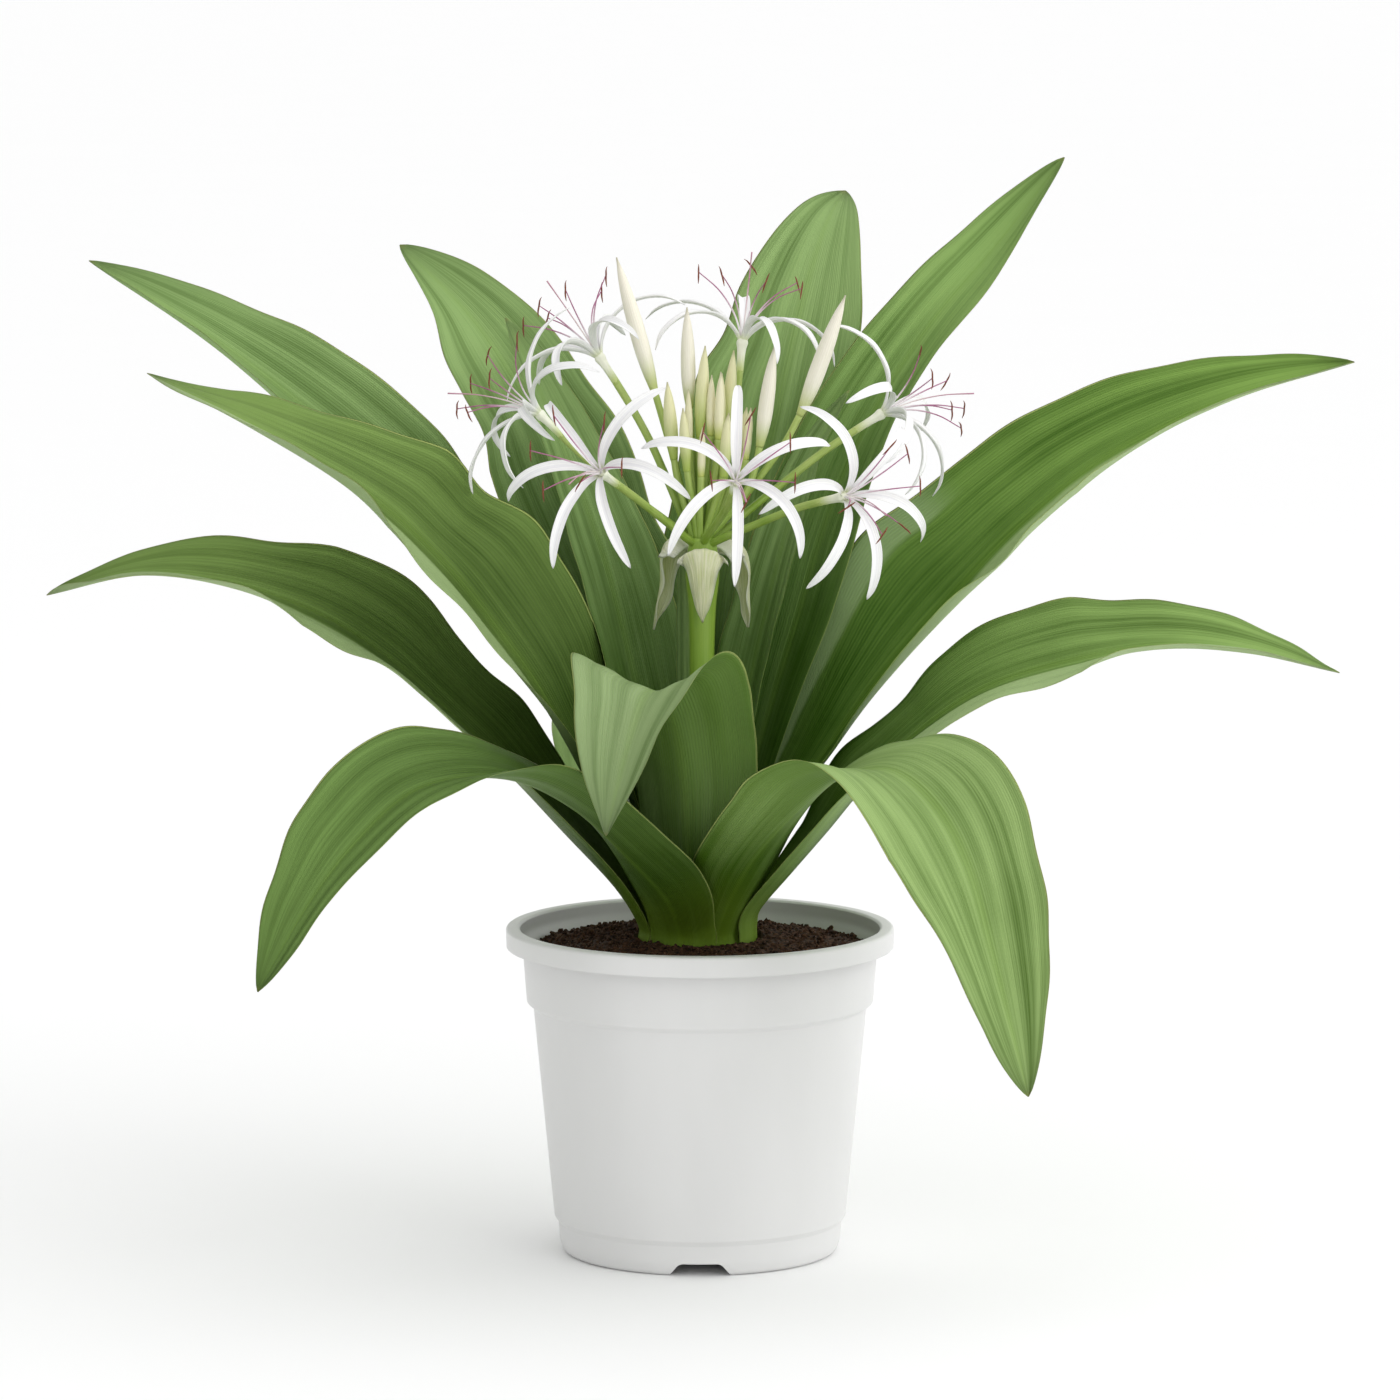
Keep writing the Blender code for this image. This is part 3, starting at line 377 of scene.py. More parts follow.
BUDS: tuple[BudPlan, ...] = (
    BudPlan("bud_tall_left", way=((-5, 4, 556), (-21, 6, 619)), base=(-35, 12, 668),
            tip=(-64, 15, 770), radius=6.2),
    BudPlan("bud_tall_centre", way=((-1, 8, 558), (-5, 11, 615)), base=(-8, 14, 656),
            tip=(-10, 11, 732), radius=5.6),
    BudPlan("bud_tall_right", way=((8, 0, 556), (50, -2, 608)), base=(77, -6, 652),
            tip=(111, -13, 743), radius=6.4),
    BudPlan("bud_right", way=((7, -4, 556), (35, -6, 591)), base=(46, -8, 628),
            tip=(57, -10, 704), radius=5.8),
    BudPlan("bud_centre", way=((1, 1, 558), (0, 2, 608)), base=(0, 4, 634),
            tip=(4, 5, 703), radius=5.2),
    BudPlan("bud_left", way=((-5, -3, 556), (-15, -3, 593)), base=(-20, -4, 618),
            tip=(-25, -5, 676), radius=5.2),
    BudPlan("bud_small_front", way=((-2, -5, 556), (-6, -8, 585)), base=(-10, -13, 610),
            tip=(-13, -17, 657), radius=4.2),
    BudPlan("bud_back_right", way=((5, 7, 558), (15, 13, 607)), base=(20, 19, 634),
            tip=(26, 22, 698), radius=5.0),
    BudPlan("bud_inner", way=((4, 4, 558), (10, 8, 600)), base=(13, 11, 620),
            tip=(17, 14, 681), radius=4.8),
    BudPlan("bud_small_right", way=((3, -4, 556), (11, -9, 582)), base=(18, -17, 606),
            tip=(21, -23, 652), radius=4.4),
    BudPlan("bud_small_inner", way=((6, 0, 556), (19, 4, 585)), base=(27, 8, 608),
            tip=(36, 12, 655), radius=4.5),
)

BUDLETS: tuple[BudPlan, ...] = (
    BudPlan("budlet_1", way=((1, 2, 556), (5, 2, 600)), base=(8, 0, 634),
            tip=(9, 0, 681), radius=3.2),
    BudPlan("budlet_2", way=((3, -1, 556), (10, -4, 598)), base=(14, -6, 632),
            tip=(16, -7, 684), radius=3.4),
    BudPlan("budlet_3", way=((5, -2, 556), (15, -1, 586)), base=(20, -1, 610),
            tip=(22, -1, 652), radius=3.1),
    BudPlan("budlet_4", way=((0, -6, 556), (0, -10, 582)), base=(1, -12, 604),
            tip=(2, -13, 642), radius=3.0),
    BudPlan("budlet_5", way=((7, 1, 556), (26, 0, 590)), base=(35, -1, 616),
            tip=(39, -2, 656), radius=3.1),
    BudPlan("budlet_6", way=((-3, 2, 556), (-6, 2, 596)), base=(-8, 2, 624),
            tip=(-9, 2, 670), radius=2.9),
)

BRACTS: tuple[BractPlan, ...] = (
    BractPlan("bract_front", azimuth=-90,
              keel=((13, 545), (24, 549), (30, 536), (29, 515), (25, 493))),
    BractPlan("bract_left", azimuth=150,
              keel=((13, 547), (26, 554), (34, 543), (36, 518), (44, 482))),
    BractPlan("bract_right", azimuth=30,
              keel=((13, 547), (27, 552), (38, 540), (40, 515), (41, 484))),
)


def srgb(code: str) -> tuple[float, float, float, float]:
    """Turn a screen colour into the linear colour that a shader takes.

    Args:
        code: Six hexadecimal digits, red, green and blue.

    Returns:
        Linear red, green, blue and an alpha of 1.
    """
    parts = [int(code[place:place + 2], 16) / 255 for place in (0, 2, 4)]
    red, green, blue = (part / 12.92 if part <= 0.04045 else ((part + 0.055) / 1.055) ** 2.4
                        for part in parts)
    return red, green, blue, 1.0


def ease(value: float) -> float:
    """Return a smooth step from 0 to 1."""
    value = min(max(value, 0.0), 1.0)
    return value * value * (3.0 - 2.0 * value)


def between(before: Knot, start: Knot, end: Knot, after: Knot, step: float) -> Knot:
    """Read a smooth curve between the middle two of four knots.

    Args:
        before: The knot before the stretch.
        start: The knot where the stretch begins.
        end: The knot where it ends.
        after: The knot after it.
        step: Where to read, 0 to 1.

    Returns:
        The value or point there.
    """
    return 0.5 * (2 * start + (end - before) * step
                  + (2 * before - 5 * start + 4 * end - after) * step ** 2
                  + (3 * start - before - 3 * end + after) * step ** 3)


def flowing(values: Sequence[float], share: float) -> float:
    """Read a smooth curve through evenly spaced values.

    Args:
        values: The values at even steps.
        share: Where to read, 0 to 1.

    Returns:
        The value there.
    """
    spot = min(max(share, 0.0), 1.0) * (len(values) - 1)
    left = min(int(spot), len(values) - 2)
    start, end = values[left], values[left + 1]
    before = values[left - 1] if left else start
    after = values[left + 2] if left + 2 < len(values) else end
    return between(before, start, end, after, spot - left)


def reaches(corners: np.ndarray) -> np.ndarray:
    """Return how far along a line each of its corners lies."""
    return np.concatenate(([0.0], np.cumsum(np.linalg.norm(np.diff(corners, axis=0), axis=1))))


def about_axis(radius: float, angle: float, height: float = 0.0) -> Vector:
    """Return the point at a radius, at an angle in radians about the pot's axis and a height."""
    return Vector((radius * math.cos(angle), radius * math.sin(angle), height))


class Path:
    """A smooth curve through given points, read by its share of length."""

    STEPS = 24
    HALF_CHORD = 0.01

    def __init__(self, points: Sequence[Vector | Point]) -> None:
        """Fit the curve.

        Args:
            points: The points that the curve passes through.
        """
        knots = [Vector(point) for point in points]
        knots.insert(0, 2 * knots[0] - knots[1])
        knots.append(2 * knots[-1] - knots[-2])
        samples = [between(*four, step / self.STEPS)
                   for four in zip(knots, knots[1:], knots[2:], knots[3:])
                   for step in range(self.STEPS)]
        samples.append(knots[-2])
        self.samples = np.array(samples)
        self.reach = reaches(self.samples)
        self.length = float(self.reach[-1])

    def point(self, share: float) -> Vector:
        """Find a point of the curve.

        Args:
            share: Where along it, 0 to 1.

        Returns:
            The point.
        """
        distance = share * self.length
        return Vector([float(np.interp(distance, self.reach, self.samples[:, axis]))
                       for axis in range(3)])

    def direction(self, share: float) -> Vector:
        """Find which way the curve heads.

        Args:
            share: Where along it, 0 to 1.

        Returns:
            The unit tangent.
        """
        ahead = self.point(min(share + self.HALF_CHORD, 1.0))
        behind = self.point(max(share - self.HALF_CHORD, 0.0))
        return (ahead - behind).normalized()

    def part(self, start: float, end: float, count: int) -> list[Vector]:
        """Return points spaced evenly between two shares.

        Args:
            start: The first share.
            end: The last share.
            count: How many points.

        Returns:
            The points in order.
        """
        return [self.point(start + (end - start) * step / (count - 1)) for step in range(count)]


def on_outline(points: Sequence[Pair], share: float) -> Pair:
    """Read a line of straight stretches by its share of length.

    Args:
        points: The line's corners.
        share: Where to read, 0 to 1.

    Returns:
        The point there.
    """
    corners = np.array(points)
    reach = reaches(corners)
    spot = share * reach[-1]
    return (float(np.interp(spot, reach, corners[:, 0])),
            float(np.interp(spot, reach, corners[:, 1])))


class Term:
    """A shader socket on which Python arithmetic adds Math nodes."""

    def __init__(self, nodes: Nodes, socket: bpy.types.NodeSocket) -> None:
        """Wrap a socket.

        Args:
            nodes: The tree that holds the node.
            socket: The node's output.
        """
        self.nodes = nodes
        self.socket = socket

    def math(self, operation: str, *values: Term | float) -> Term:
        """Add one Math node.

        Args:
            operation: The node's operation.
            values: What goes into its sockets, in order.

        Returns:
            The node's result.
        """
        return self.nodes.node("ShaderNodeMath", {"operation": operation}, dict(enumerate(values)))

    def __add__(self, other: Term | float) -> Term:
        """Return the sum."""
        return self.math("ADD", self, other)

    def __radd__(self, other: float) -> Term:
        """Return the sum with a number on the left."""
        return self.math("ADD", other, self)

    def __sub__(self, other: Term | float) -> Term:
        """Return the difference."""
        return self.math("SUBTRACT", self, other)

    def __rsub__(self, other: float) -> Term:
        """Return a number less this value."""
        return self.math("SUBTRACT", other, self)

    def __mul__(self, other: Term | float) -> Term:
        """Return the product."""
        return self.math("MULTIPLY", self, other)

    def __rmul__(self, other: float) -> Term:
        """Return the product with a number on the left."""
        return self.math("MULTIPLY", other, self)

    def __abs__(self) -> Term:
        """Return the size of the value."""
        return self.math("ABSOLUTE", self)

    def stripes(self, count: float, waver: Term) -> Term:
        """Return soft stripes along this value, each going from 0 to 1 and back.

        Args:
            count: How many stripes there are while the value grows by 1.
            waver: How far, in radians, they are pushed aside.

        Returns:
            The stripes.
        """
        return self.math("SINE", self * (math.tau * count) + waver) * 0.5 + 0.5

    def rise(self, low: float, high: float) -> Term:
        """Return a smooth step that goes from 0 at low to 1 at high."""
        return self.nodes.node("ShaderNodeMapRange", {"interpolation_type": "SMOOTHSTEP"},
                               {"Value": self, "From Min": low, "From Max": high})

    def fall(self, low: float, high: float) -> Term:
        """Return a smooth step that goes from 1 at low to 0 at high."""
        return 1.0 - self.rise(low, high)


class Nodes:
    """A tree of shader nodes and the shader that it starts with."""

    def __init__(self, owner: bpy.types.Material | bpy.types.World, shader: str) -> None:
        """Open the owner's tree.

        Args:
            owner: The material or the world.
            shader: The name of the shader in its new tree.
        """
        owner.use_nodes = True
        self.tree = owner.node_tree
        self.shader = self.tree.nodes[shader]

    def node(self, kind: str, settings: dict[str, object] | None = None,
             values: dict[int | str, object] | None = None, output: int | str = 0) -> Term:
        """Add a node, with its settings first and its sockets after them.

        Args:
            kind: The node's type.
            settings: Its settings, such as a Math node's operation.
            values: A value or a term for each socket, by name or number.
            output: Which of its outputs to return.

        Returns:
            The chosen output.
        """
        made = self.tree.nodes.new(kind)
        for name, value in (settings or {}).items():
            setattr(made, name, value)
        self.fill(made, values or {})
        return Term(self, made.outputs[output])

    def fill(self, made: bpy.types.Node, values: dict[int | str, object]) -> None:
        """Set or link a node's sockets.

        Args:
            made: The node.
            values: A value or a term for each socket, by name or number.
        """
        for name, value in values.items():
            if isinstance(value, Term):
                self.tree.links.new(value.socket, made.inputs[name])
            else:
                made.inputs[name].default_value = value


class Graph(Nodes):
    """The nodes of one material."""

    def __init__(self, name: str) -> None:
        """Start a material with a bare surface shader.

        Args:
            name: The material's name.
        """
        self.material = bpy.data.materials.new(name)
        super().__init__(self.material, "Principled BSDF")

    def mix(self, factor: Term | float, first: object, second: object) -> Term:
        """Blend two colours.

        Args:
            factor: 0 for the first colour and 1 for the second.
            first: A colour or a term.
            second: A colour or a term.

        Returns:
            The blended colour.
        """
        return self.node("ShaderNodeMix", {"data_type": "RGBA", "clamp_factor": True},
                         {0: factor, 6: first, 7: second}, 2)

    def place(self, *scale: float) -> Term:
        """Read the object's own coordinates.

        Args:
            scale: One stretch for all axes, or one for each.

        Returns:
            The stretched coordinates.
        """
        spot = self.node("ShaderNodeTexCoord", output="Object")
        stretch = scale * 3 if len(scale) == 1 else scale
        return self.node("ShaderNodeVectorMath", {"operation": "MULTIPLY"}, {0: spot, 1: stretch})

    def along_around(self) -> tuple[Term, Term]:
        """Read where on a form a point lies.

        Returns:
            How far along and how far round it is, each 0 to 1.
        """
        spot = self.node("ShaderNodeUVMap", {"uv_map": UV_NAME}, output="UV")
        along = self.node("ShaderNodeSeparateXYZ", values={0: spot}, output="X")
        around = self.node("ShaderNodeSeparateXYZ", values={0: spot}, output="Y")
        return along, around

    def across_outward(self, around: Term) -> tuple[Term, Term]:
        """Return how far across a blade, and how far out from its keel, a point lies, 0 to 1."""
        across = abs(around * 2.0 - 1.0)
        return across, abs(across * 2.0 - 1.0)

    def spot(self, first: Term | float, second: Term | float, third: Term | float = 0.0) -> Term:
        """Return a vector made of three values."""
        return self.node("ShaderNodeCombineXYZ", values={0: first, 1: second, 2: third})

    def cloud(self, spot: Term, detail: float = 2.0, roughness: float = 0.5) -> Term:
        """Return a soft random value between 0 and 1.

        Args:
            spot: Where the pattern is read.
            detail: How many finer layers it has.
            roughness: How strong the finer layers are.

        Returns:
            The value.
        """
        return self.node("ShaderNodeTexNoise", values={
            "Vector": spot, "Scale": 1.0, "Detail": detail, "Roughness": roughness})

    def cells(self, spot: Term) -> Term:
        """Return the distance from the middle of the nearest cell in a pattern of cells."""
        return self.node("ShaderNodeTexVoronoi", {"feature": "F1"},
                         {"Vector": spot, "Scale": 1.0}, "Distance")

    def surface(self, colour: Term, roughness: Term | float, height: Term | None = None,
                depth: float = 0.0,
                **steady: float | tuple[float, ...]) -> bpy.types.Material:
        """Feed the surface shader.

        Args:
            colour: The base colour.
            roughness: The roughness.
            height: The relief, 0 to 1, or none.
            depth: How deep the relief is, in millimetres.
            steady: Shader values that are the same all over, with "_" for a space.

        Returns:
            The finished material.
        """
        values = {"Base Color": colour, "Roughness": roughness}
        for name, value in steady.items():
            values[name.replace("_", " ")] = value
        if height is not None:
            values["Normal"] = self.node("ShaderNodeBump", values={
                "Strength": 1.0, "Distance": depth * MM, "Height": height}, output="Normal")
        self.fill(self.shader, values)
        return self.material


def to_object(body: bmesh.types.BMesh, name: str) -> bpy.types.Object:
    """Turn a shape in millimetres into an object of the scene, in metres.

    Args:
        body: The shape, which is used up.
        name: The object's name.

    Returns:
        The new object.
    """
    bmesh.ops.scale(body, vec=(MM, MM, MM), verts=body.verts)
    mesh = bpy.data.meshes.new(name)
    body.to_mesh(mesh)
    body.free()
    item = bpy.data.objects.new(name, mesh)
    bpy.context.scene.collection.objects.link(item)
    return item


class Piece:
    """One object of the plant, gathered from closed forms in millimetres."""

    def __init__(self, name: str) -> None:
        """Start an empty piece.

        Args:
            name: The object's name.
        """
        self.name = name
        self.body = bmesh.new()
        self.uv = self.body.loops.layers.uv.new(UV_NAME)

    def loft(self, faces: Faces, place: Callable[[float, float], Vector], finish: int = 0) -> None:
        """Wrap a grid round a path into a closed form.

        Args:
            faces: How many faces along and how many round.
            place: Gives a point for how far along and how far round it is, each 0 to 1.
            finish: The number of the piece's finish.
        """
        verts = bmesh.ops.create_grid(self.body, x_segments=faces[0], y_segments=faces[1],
                                      size=1.0)["verts"]
        made = list({face for vert in verts for face in vert.link_faces})
        spots = {vert: ((vert.co.x + 1.0) / 2.0, (vert.co.y + 1.0) / 2.0) for vert in verts}
        for face in made:
            for loop in face.loops:
                loop[self.uv].uv = spots[loop.vert]
        for vert, (along, around) in spots.items():
            vert.co = place(along, around)
        bmesh.ops.remove_doubles(self.body, verts=verts, dist=0.0005)
        edges = {edge for face in made if face.is_valid for edge in face.edges}
        capped = bmesh.ops.holes_fill(self.body, sides=0,
                                      edges=[edge for edge in edges if edge.is_boundary])
        made = [face for face in made if face.is_valid] + capped["faces"]
        for face in made:
            face.smooth = True
            face.material_index = finish
        bmesh.ops.recalc_face_normals(self.body, faces=made)

    def tube(self, points: Sequence[Vector | Point], radii: Sequence[float], faces: Faces,
             finish: int = 0, ribs: Pair = (0.0, 0.0)) -> None:
        """Wrap a round tube along points.

        Args:
            points: The points of its axis.
            radii: Its radius at even steps.
            faces: How many faces along and how many round.
            finish: The number of the piece's finish.
            ribs: How many lengthwise ribs and how deep they are as a share of the radius.
        """
        path = Path(points)
        first = path.direction(0.0)
        level = first.orthogonal().normalized()

        @lru_cache(maxsize=None)
        def station(share: float) -> tuple[Vector, Vector, Vector, float]:
            """Find the tube's axis and radius.

            Args:
                share: Where along it, 0 to 1.

            Returns:
                The point of the axis, two directions across it and the radius.
            """
            turn = first.rotation_difference(path.direction(share))
            return (path.point(share), turn @ level, turn @ first.cross(level),
                    flowing(radii, share))

        def place(along: float, around: float) -> Vector:
            """Find a point of the tube's wall.

            Args:
                along: How far along it is, 0 to 1.
                around: How far round it is, 0 to 1.

            Returns:
                The point.
            """
            centre, aside, over, radius = station(round(along, 6))
            angle = math.tau * around
            radius *= 1.0 + ribs[1] * math.cos(ribs[0] * angle)
            return centre + (aside * math.cos(angle) + over * math.sin(angle)) * radius

        self.loft(faces, place, finish)

    def finish(self, materials: Sequence[bpy.types.Material], stands_for: str,
               slot: Slot) -> bpy.types.Object:
        """Turn the gathered forms into an object that rides on the plant.

        Args:
            materials: The finishes, in the order of their numbers.
            stands_for: The solid part that the piece replaces.
            slot: The record's slot for its finish; not used.

        Returns:
            The new object.
        """
        item = to_object(self.body, self.name)
        for material in materials:
            item.data.materials.append(material)
        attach(item, BODY)
        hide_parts(stands_for)
        log.info("%s: %d faces", self.name, len(item.data.polygons))
        return item


@dataclass(frozen=True)
class PotPlastic:
    """Satin white moulded plastic with faint flow marks and fine scuffs."""

    white: str = "E0E0DF"
    shade: str = "D9D9D8"
    roughness: float = 0.36
    relief: float = 0.05

    def build(self) -> bpy.types.Material:
        """Make the material.

        Returns:
            The material.
        """
        graph = Graph("pot_plastic")
        flow = graph.cloud(graph.place(7.0, 7.0, 2.0), 4.0)
        scuffs = graph.cloud(graph.place(40.0, 40.0, 160.0), 6.0, 0.7)
        pores = graph.cloud(graph.place(900.0))
        colour = graph.mix(flow.rise(0.35, 0.75), srgb(self.white), srgb(self.shade))
        roughness = self.roughness + scuffs.rise(0.5, 0.8) * 0.1 + flow * 0.06
        return graph.surface(colour, roughness, pores * 0.6 + scuffs * 0.4, self.relief)


@dataclass(frozen=True)
class PottingSoil:
    """Dark crumbly soil with paler bark fibres, smoother where it is damp."""

    dark: str = "120A06"
    brown: str = "573C2A"
    fibre: str = "94765C"
    roughness: float = 0.95
    relief: float = 1.4

    def build(self) -> bpy.types.Material:
        """Make the material.

        Returns:
            The material.
        """
        graph = Graph("potting_soil")
        grains = graph.cloud(graph.place(260.0), 5.0, 0.65)
        clumps = graph.cells(graph.place(330.0))
        fibres = graph.cloud(graph.place(900.0, 240.0, 600.0))
        damp = graph.cloud(graph.place(22.0))
        colour = graph.mix(grains.rise(0.3, 0.72), srgb(self.dark), srgb(self.brown))
        colour = graph.mix(fibres.rise(0.62, 0.78) * 0.75, colour, srgb(self.fibre))
        roughness = self.roughness - damp.rise(0.4, 0.7) * 0.25
        return graph.surface(colour, roughness, grains * 0.6 + clumps * 0.6, self.relief,
                             IOR=1.25)


@dataclass(frozen=True)
class BulbSkin:
    """Papery tan tunic of the bulb, with long fibres."""

    tan: str = "C9B98A"
    brown: str = "8A7148"
    roughness: float = 0.6
    relief: float = 0.6

    def build(self) -> bpy.types.Material:
        """Make the material.

        Returns:
            The material.
        """
        graph = Graph("bulb_skin")
        along, around = graph.along_around()
        fibres = graph.cloud(graph.spot(along * 3.0, around * 90.0), 4.0, 0.6)
        flakes = graph.cloud(graph.place(60.0, 60.0, 30.0), 3.0)
        colour = graph.mix(fibres.rise(0.3, 0.7), srgb(self.brown), srgb(self.tan))
        colour = graph.mix(flakes.rise(0.55, 0.7) * 0.5, colour, srgb(self.brown))
        return graph.surface(colour, self.roughness + flakes * 0.2, fibres, self.relief)


@dataclass(frozen=True)
class LeafSkin:
    """Waxy strap leaf with parallel veins, a pale keel and margins and a greyer back.

    The blade goes from its deep to its light colour towards the share open_from of its length,
    which is partly its own colour and partly painted shade at the neck, and loses some of that at
    the tip by fade, a painted shade on its outer part. Its lower half may be lighter by
    painted_light_edge, a painted light, show a turned underside from turned_from across it, and
    have a pale strip along the other edge. Its streaking is partly its own streaky tone and partly
    painted sheen and shade along its pleats.
    """

    name: str
    deep: str
    light: str
    under: str
    open_from: float = 1.0
    # Painted shade: how much darker the blade gets over its outer part.
    fade: float = 0.0
    # Painted light: how much lighter the lower half of the blade is, fading out along it.
    painted_light_edge: float = 0.0
    turned: float = 0.0
    turned_from: float = 0.6
    turns_right: bool = True
    strip: float = 0.0
    # How strongly the streaking tints the blade: partly its own streaky tone, partly painted sheen
    # and shade along its pleats.
    streaks_and_sheen: float = 1.0
    root: str = "7F9C28"
    vein: str = "86AA3C"
    margin: str = "BFD07A"
    strip_green: str = "8BA273"
    dry_tip: str = "A59A58"
    veins: float = 62.0
    roughness: float = 0.38
    relief: float = 0.5

    def build(self) -> bpy.types.Material:
        """Make the material.

        Returns:
            The material.
        """
        graph = Graph(self.name)
        along, around = graph.along_around()
        across, outward = graph.across_outward(around)
        back = around.rise(0.49, 0.51)
        mottle = graph.cloud(graph.place(9.0), 3.0)
        # Long light and dark streaking in the colour: partly the leaf's own streaky tone, partly
        # painted sheen and shade along its pleats.
        broad_tone_and_sheen = graph.cloud(graph.spot(along * 1.3, across * 6.0, back * 3.0), 3.0)
        streak = graph.cloud(graph.spot(along * 2.4, across * 36.0, back * 9.0), 4.0, 0.6)
        fine = graph.cloud(graph.spot(along * 12.0, across * 230.0, back * 5.0))
        drift = graph.cloud(graph.spot(along * 5.0, across * 9.0))
        veins = across.stripes(self.veins, drift * 6.0)
        # Deep at the neck and light out on the blade: partly the leaf's own colour, partly painted
        # shade at the neck.
        open_blade = along.rise(0.12, self.open_from)
        past_neck = along.rise(0.28, 0.42)
        lower = (across if self.turns_right else 1.0 - across) + (mottle - 0.5) * 0.12
        strength = (0.06 + open_blade * 0.86 + (broad_tone_and_sheen - 0.5) * (open_blade * 1.2 + 0.8)
                    + (streak - 0.5) * ((open_blade * 0.8 + 0.5) * self.streaks_and_sheen)
                    # The fade term is painted shade on the outer part of the blade.
                    + (mottle - 0.5) * 0.6 - along.rise(0.5, 0.8) * self.fade
                    # The painted_light_edge term is painted light on the lower half of the inner
                    # blade.
                    + lower.rise(0.5, 0.95) * along.fall(0.25, 0.75) * self.painted_light_edge)
        turned = lower.rise(self.turned_from, self.turned_from + 0.05) * past_neck * self.turned
        strip = ((1.0 - lower + past_neck * 0.06).rise(0.86, 0.9)
                 * along.fall(0.52, 0.58) * self.strip)
        colour = graph.mix(strength, srgb(self.deep), srgb(self.light))
        for share, tint in ((back * open_blade * 0.8, self.under),
                            (turned, self.under),
                            (strip, self.strip_green),
                            (veins * 0.09 + fine * 0.1, self.vein),
                            (outward.fall(0.0, 0.1) * 0.12, self.vein),
                            (outward.rise(0.965, 0.985) * 0.8, self.margin),
                            (along.fall(0.02, 0.2) * 0.6, self.root),
                            (along.rise(0.99, 1.0) * 0.4, self.dry_tip)):
            colour = graph.mix(share, colour, srgb(tint))
        roughness = self.roughness + streak * 0.14 + fine * 0.08
        height = veins * 0.45 + fine * 0.25 + streak * 0.5
        return graph.surface(colour, roughness, height, self.relief, IOR=1.2)


@dataclass(frozen=True)
class ScapeSkin:
    """Smooth green flower stalk, streaked lengthwise and paler towards the umbel."""

    name: str
    green: str
    pale: str
    roughness: float = 0.36
    relief: float = 0.2

    def build(self) -> bpy.types.Material:
        """Make the material.

        Returns:
            The material.
        """
        graph = Graph(self.name)
        along, around = graph.along_around()
        streak = graph.cloud(graph.spot(along * 4.0, around * 26.0), 4.0, 0.6)
        mottle = graph.cloud(graph.place(70.0, 70.0, 25.0), 3.0)
        colour = graph.mix(along * 0.5 + (streak - 0.5) * 0.9 + (mottle - 0.5) * 0.6,
                           srgb(self.green), srgb(self.pale))
        return graph.surface(colour, self.roughness + streak * 0.15, streak, self.relief)


@dataclass(frozen=True)
class BractSkin:
    """Papery bract that lets light through, cream-green with fine veins and a pale rim."""

    body: str = "E2E0BC"
    shade: str = "C3C98C"
    rim: str = "F2F0E0"
    veins: float = 16.0
    roughness: float = 0.5
    relief: float = 0.3
    glow: float = 0.5
    glow_depth: float = 4.0
    glow_reach: tuple[float, float, float] = (1.0, 1.0, 0.75)

    def build(self) -> bpy.types.Material:
        """Make the material.

        Returns:
            The material.
        """
        graph = Graph("bract_skin")
        along, around = graph.along_around()
        across, outward = graph.across_outward(around)
        streak = graph.cloud(graph.spot(along * 3.0, across * 26.0), 4.0, 0.6)
        veins = across.stripes(self.veins, streak * 3.0)
        colour = graph.mix(streak.rise(0.3, 0.7), srgb(self.shade), srgb(self.body))
        for share in (veins * 0.22, along.fall(0.0, 0.22) * 0.7, outward.rise(0.72, 1.0) * 0.65):
            colour = graph.mix(share, colour, srgb(self.rim))
        return graph.surface(colour, self.roughness + streak * 0.15, veins * 0.6 + streak * 0.4,
                             self.relief, Subsurface_Weight=self.glow,
                             Subsurface_Scale=self.glow_depth * MM,
                             Subsurface_Radius=self.glow_reach)


@dataclass(frozen=True)
class PetalSkin:
    """White tepal with faint lengthwise lines and a green-yellow throat."""

    white: str = "F8F8F5"
    line: str = "D6D6DE"
    throat: str = "D3DF8E"
    lines: float = 7.0
    roughness: float = 0.42
    relief: float = 0.18

    def build(self) -> bpy.types.Material:
        """Make the material.

        Returns:
            The material.
        """
        graph = Graph("petal_white")
        along, around = graph.along_around()
        across, outward = graph.across_outward(around)
        streak = graph.cloud(graph.spot(along * 3.0, across * 22.0), 3.0, 0.6)
        lines = across.stripes(self.lines, streak * 2.5)
        colour = graph.mix(lines * 0.3 + streak.rise(0.45, 0.75) * 0.25, srgb(self.white),
                           srgb(self.line))
        colour = graph.mix(outward.fall(0.0, 0.3) * 0.3, colour, srgb(self.line))
        colour = graph.mix(along.fall(0.01, 0.13) * 0.6, colour, srgb(self.throat))
        return graph.surface(colour, self.roughness + streak * 0.12, lines * 0.6 + streak * 0.4,
                             self.relief)


@dataclass(frozen=True)
class TubeSkin:
    """Bloom's slender tube, green where it leaves its stalk and white at the throat."""

    green: str = "BCCB7E"
    white: str = "F3F4E2"
    roughness: float = 0.42
    relief: float = 0.15

    def build(self) -> bpy.types.Material:
        """Make the material.

        Returns:
            The material.
        """
        graph = Graph("bloom_tube")
        along, around = graph.along_around()
        streak = graph.cloud(graph.spot(along * 3.0, around * 18.0), 3.0)
        colour = graph.mix(along.rise(0.0, 0.6) + (streak - 0.5) * 0.5, srgb(self.green),
                           srgb(self.white))
        return graph.surface(colour, self.roughness + streak * 0.1, streak, self.relief)


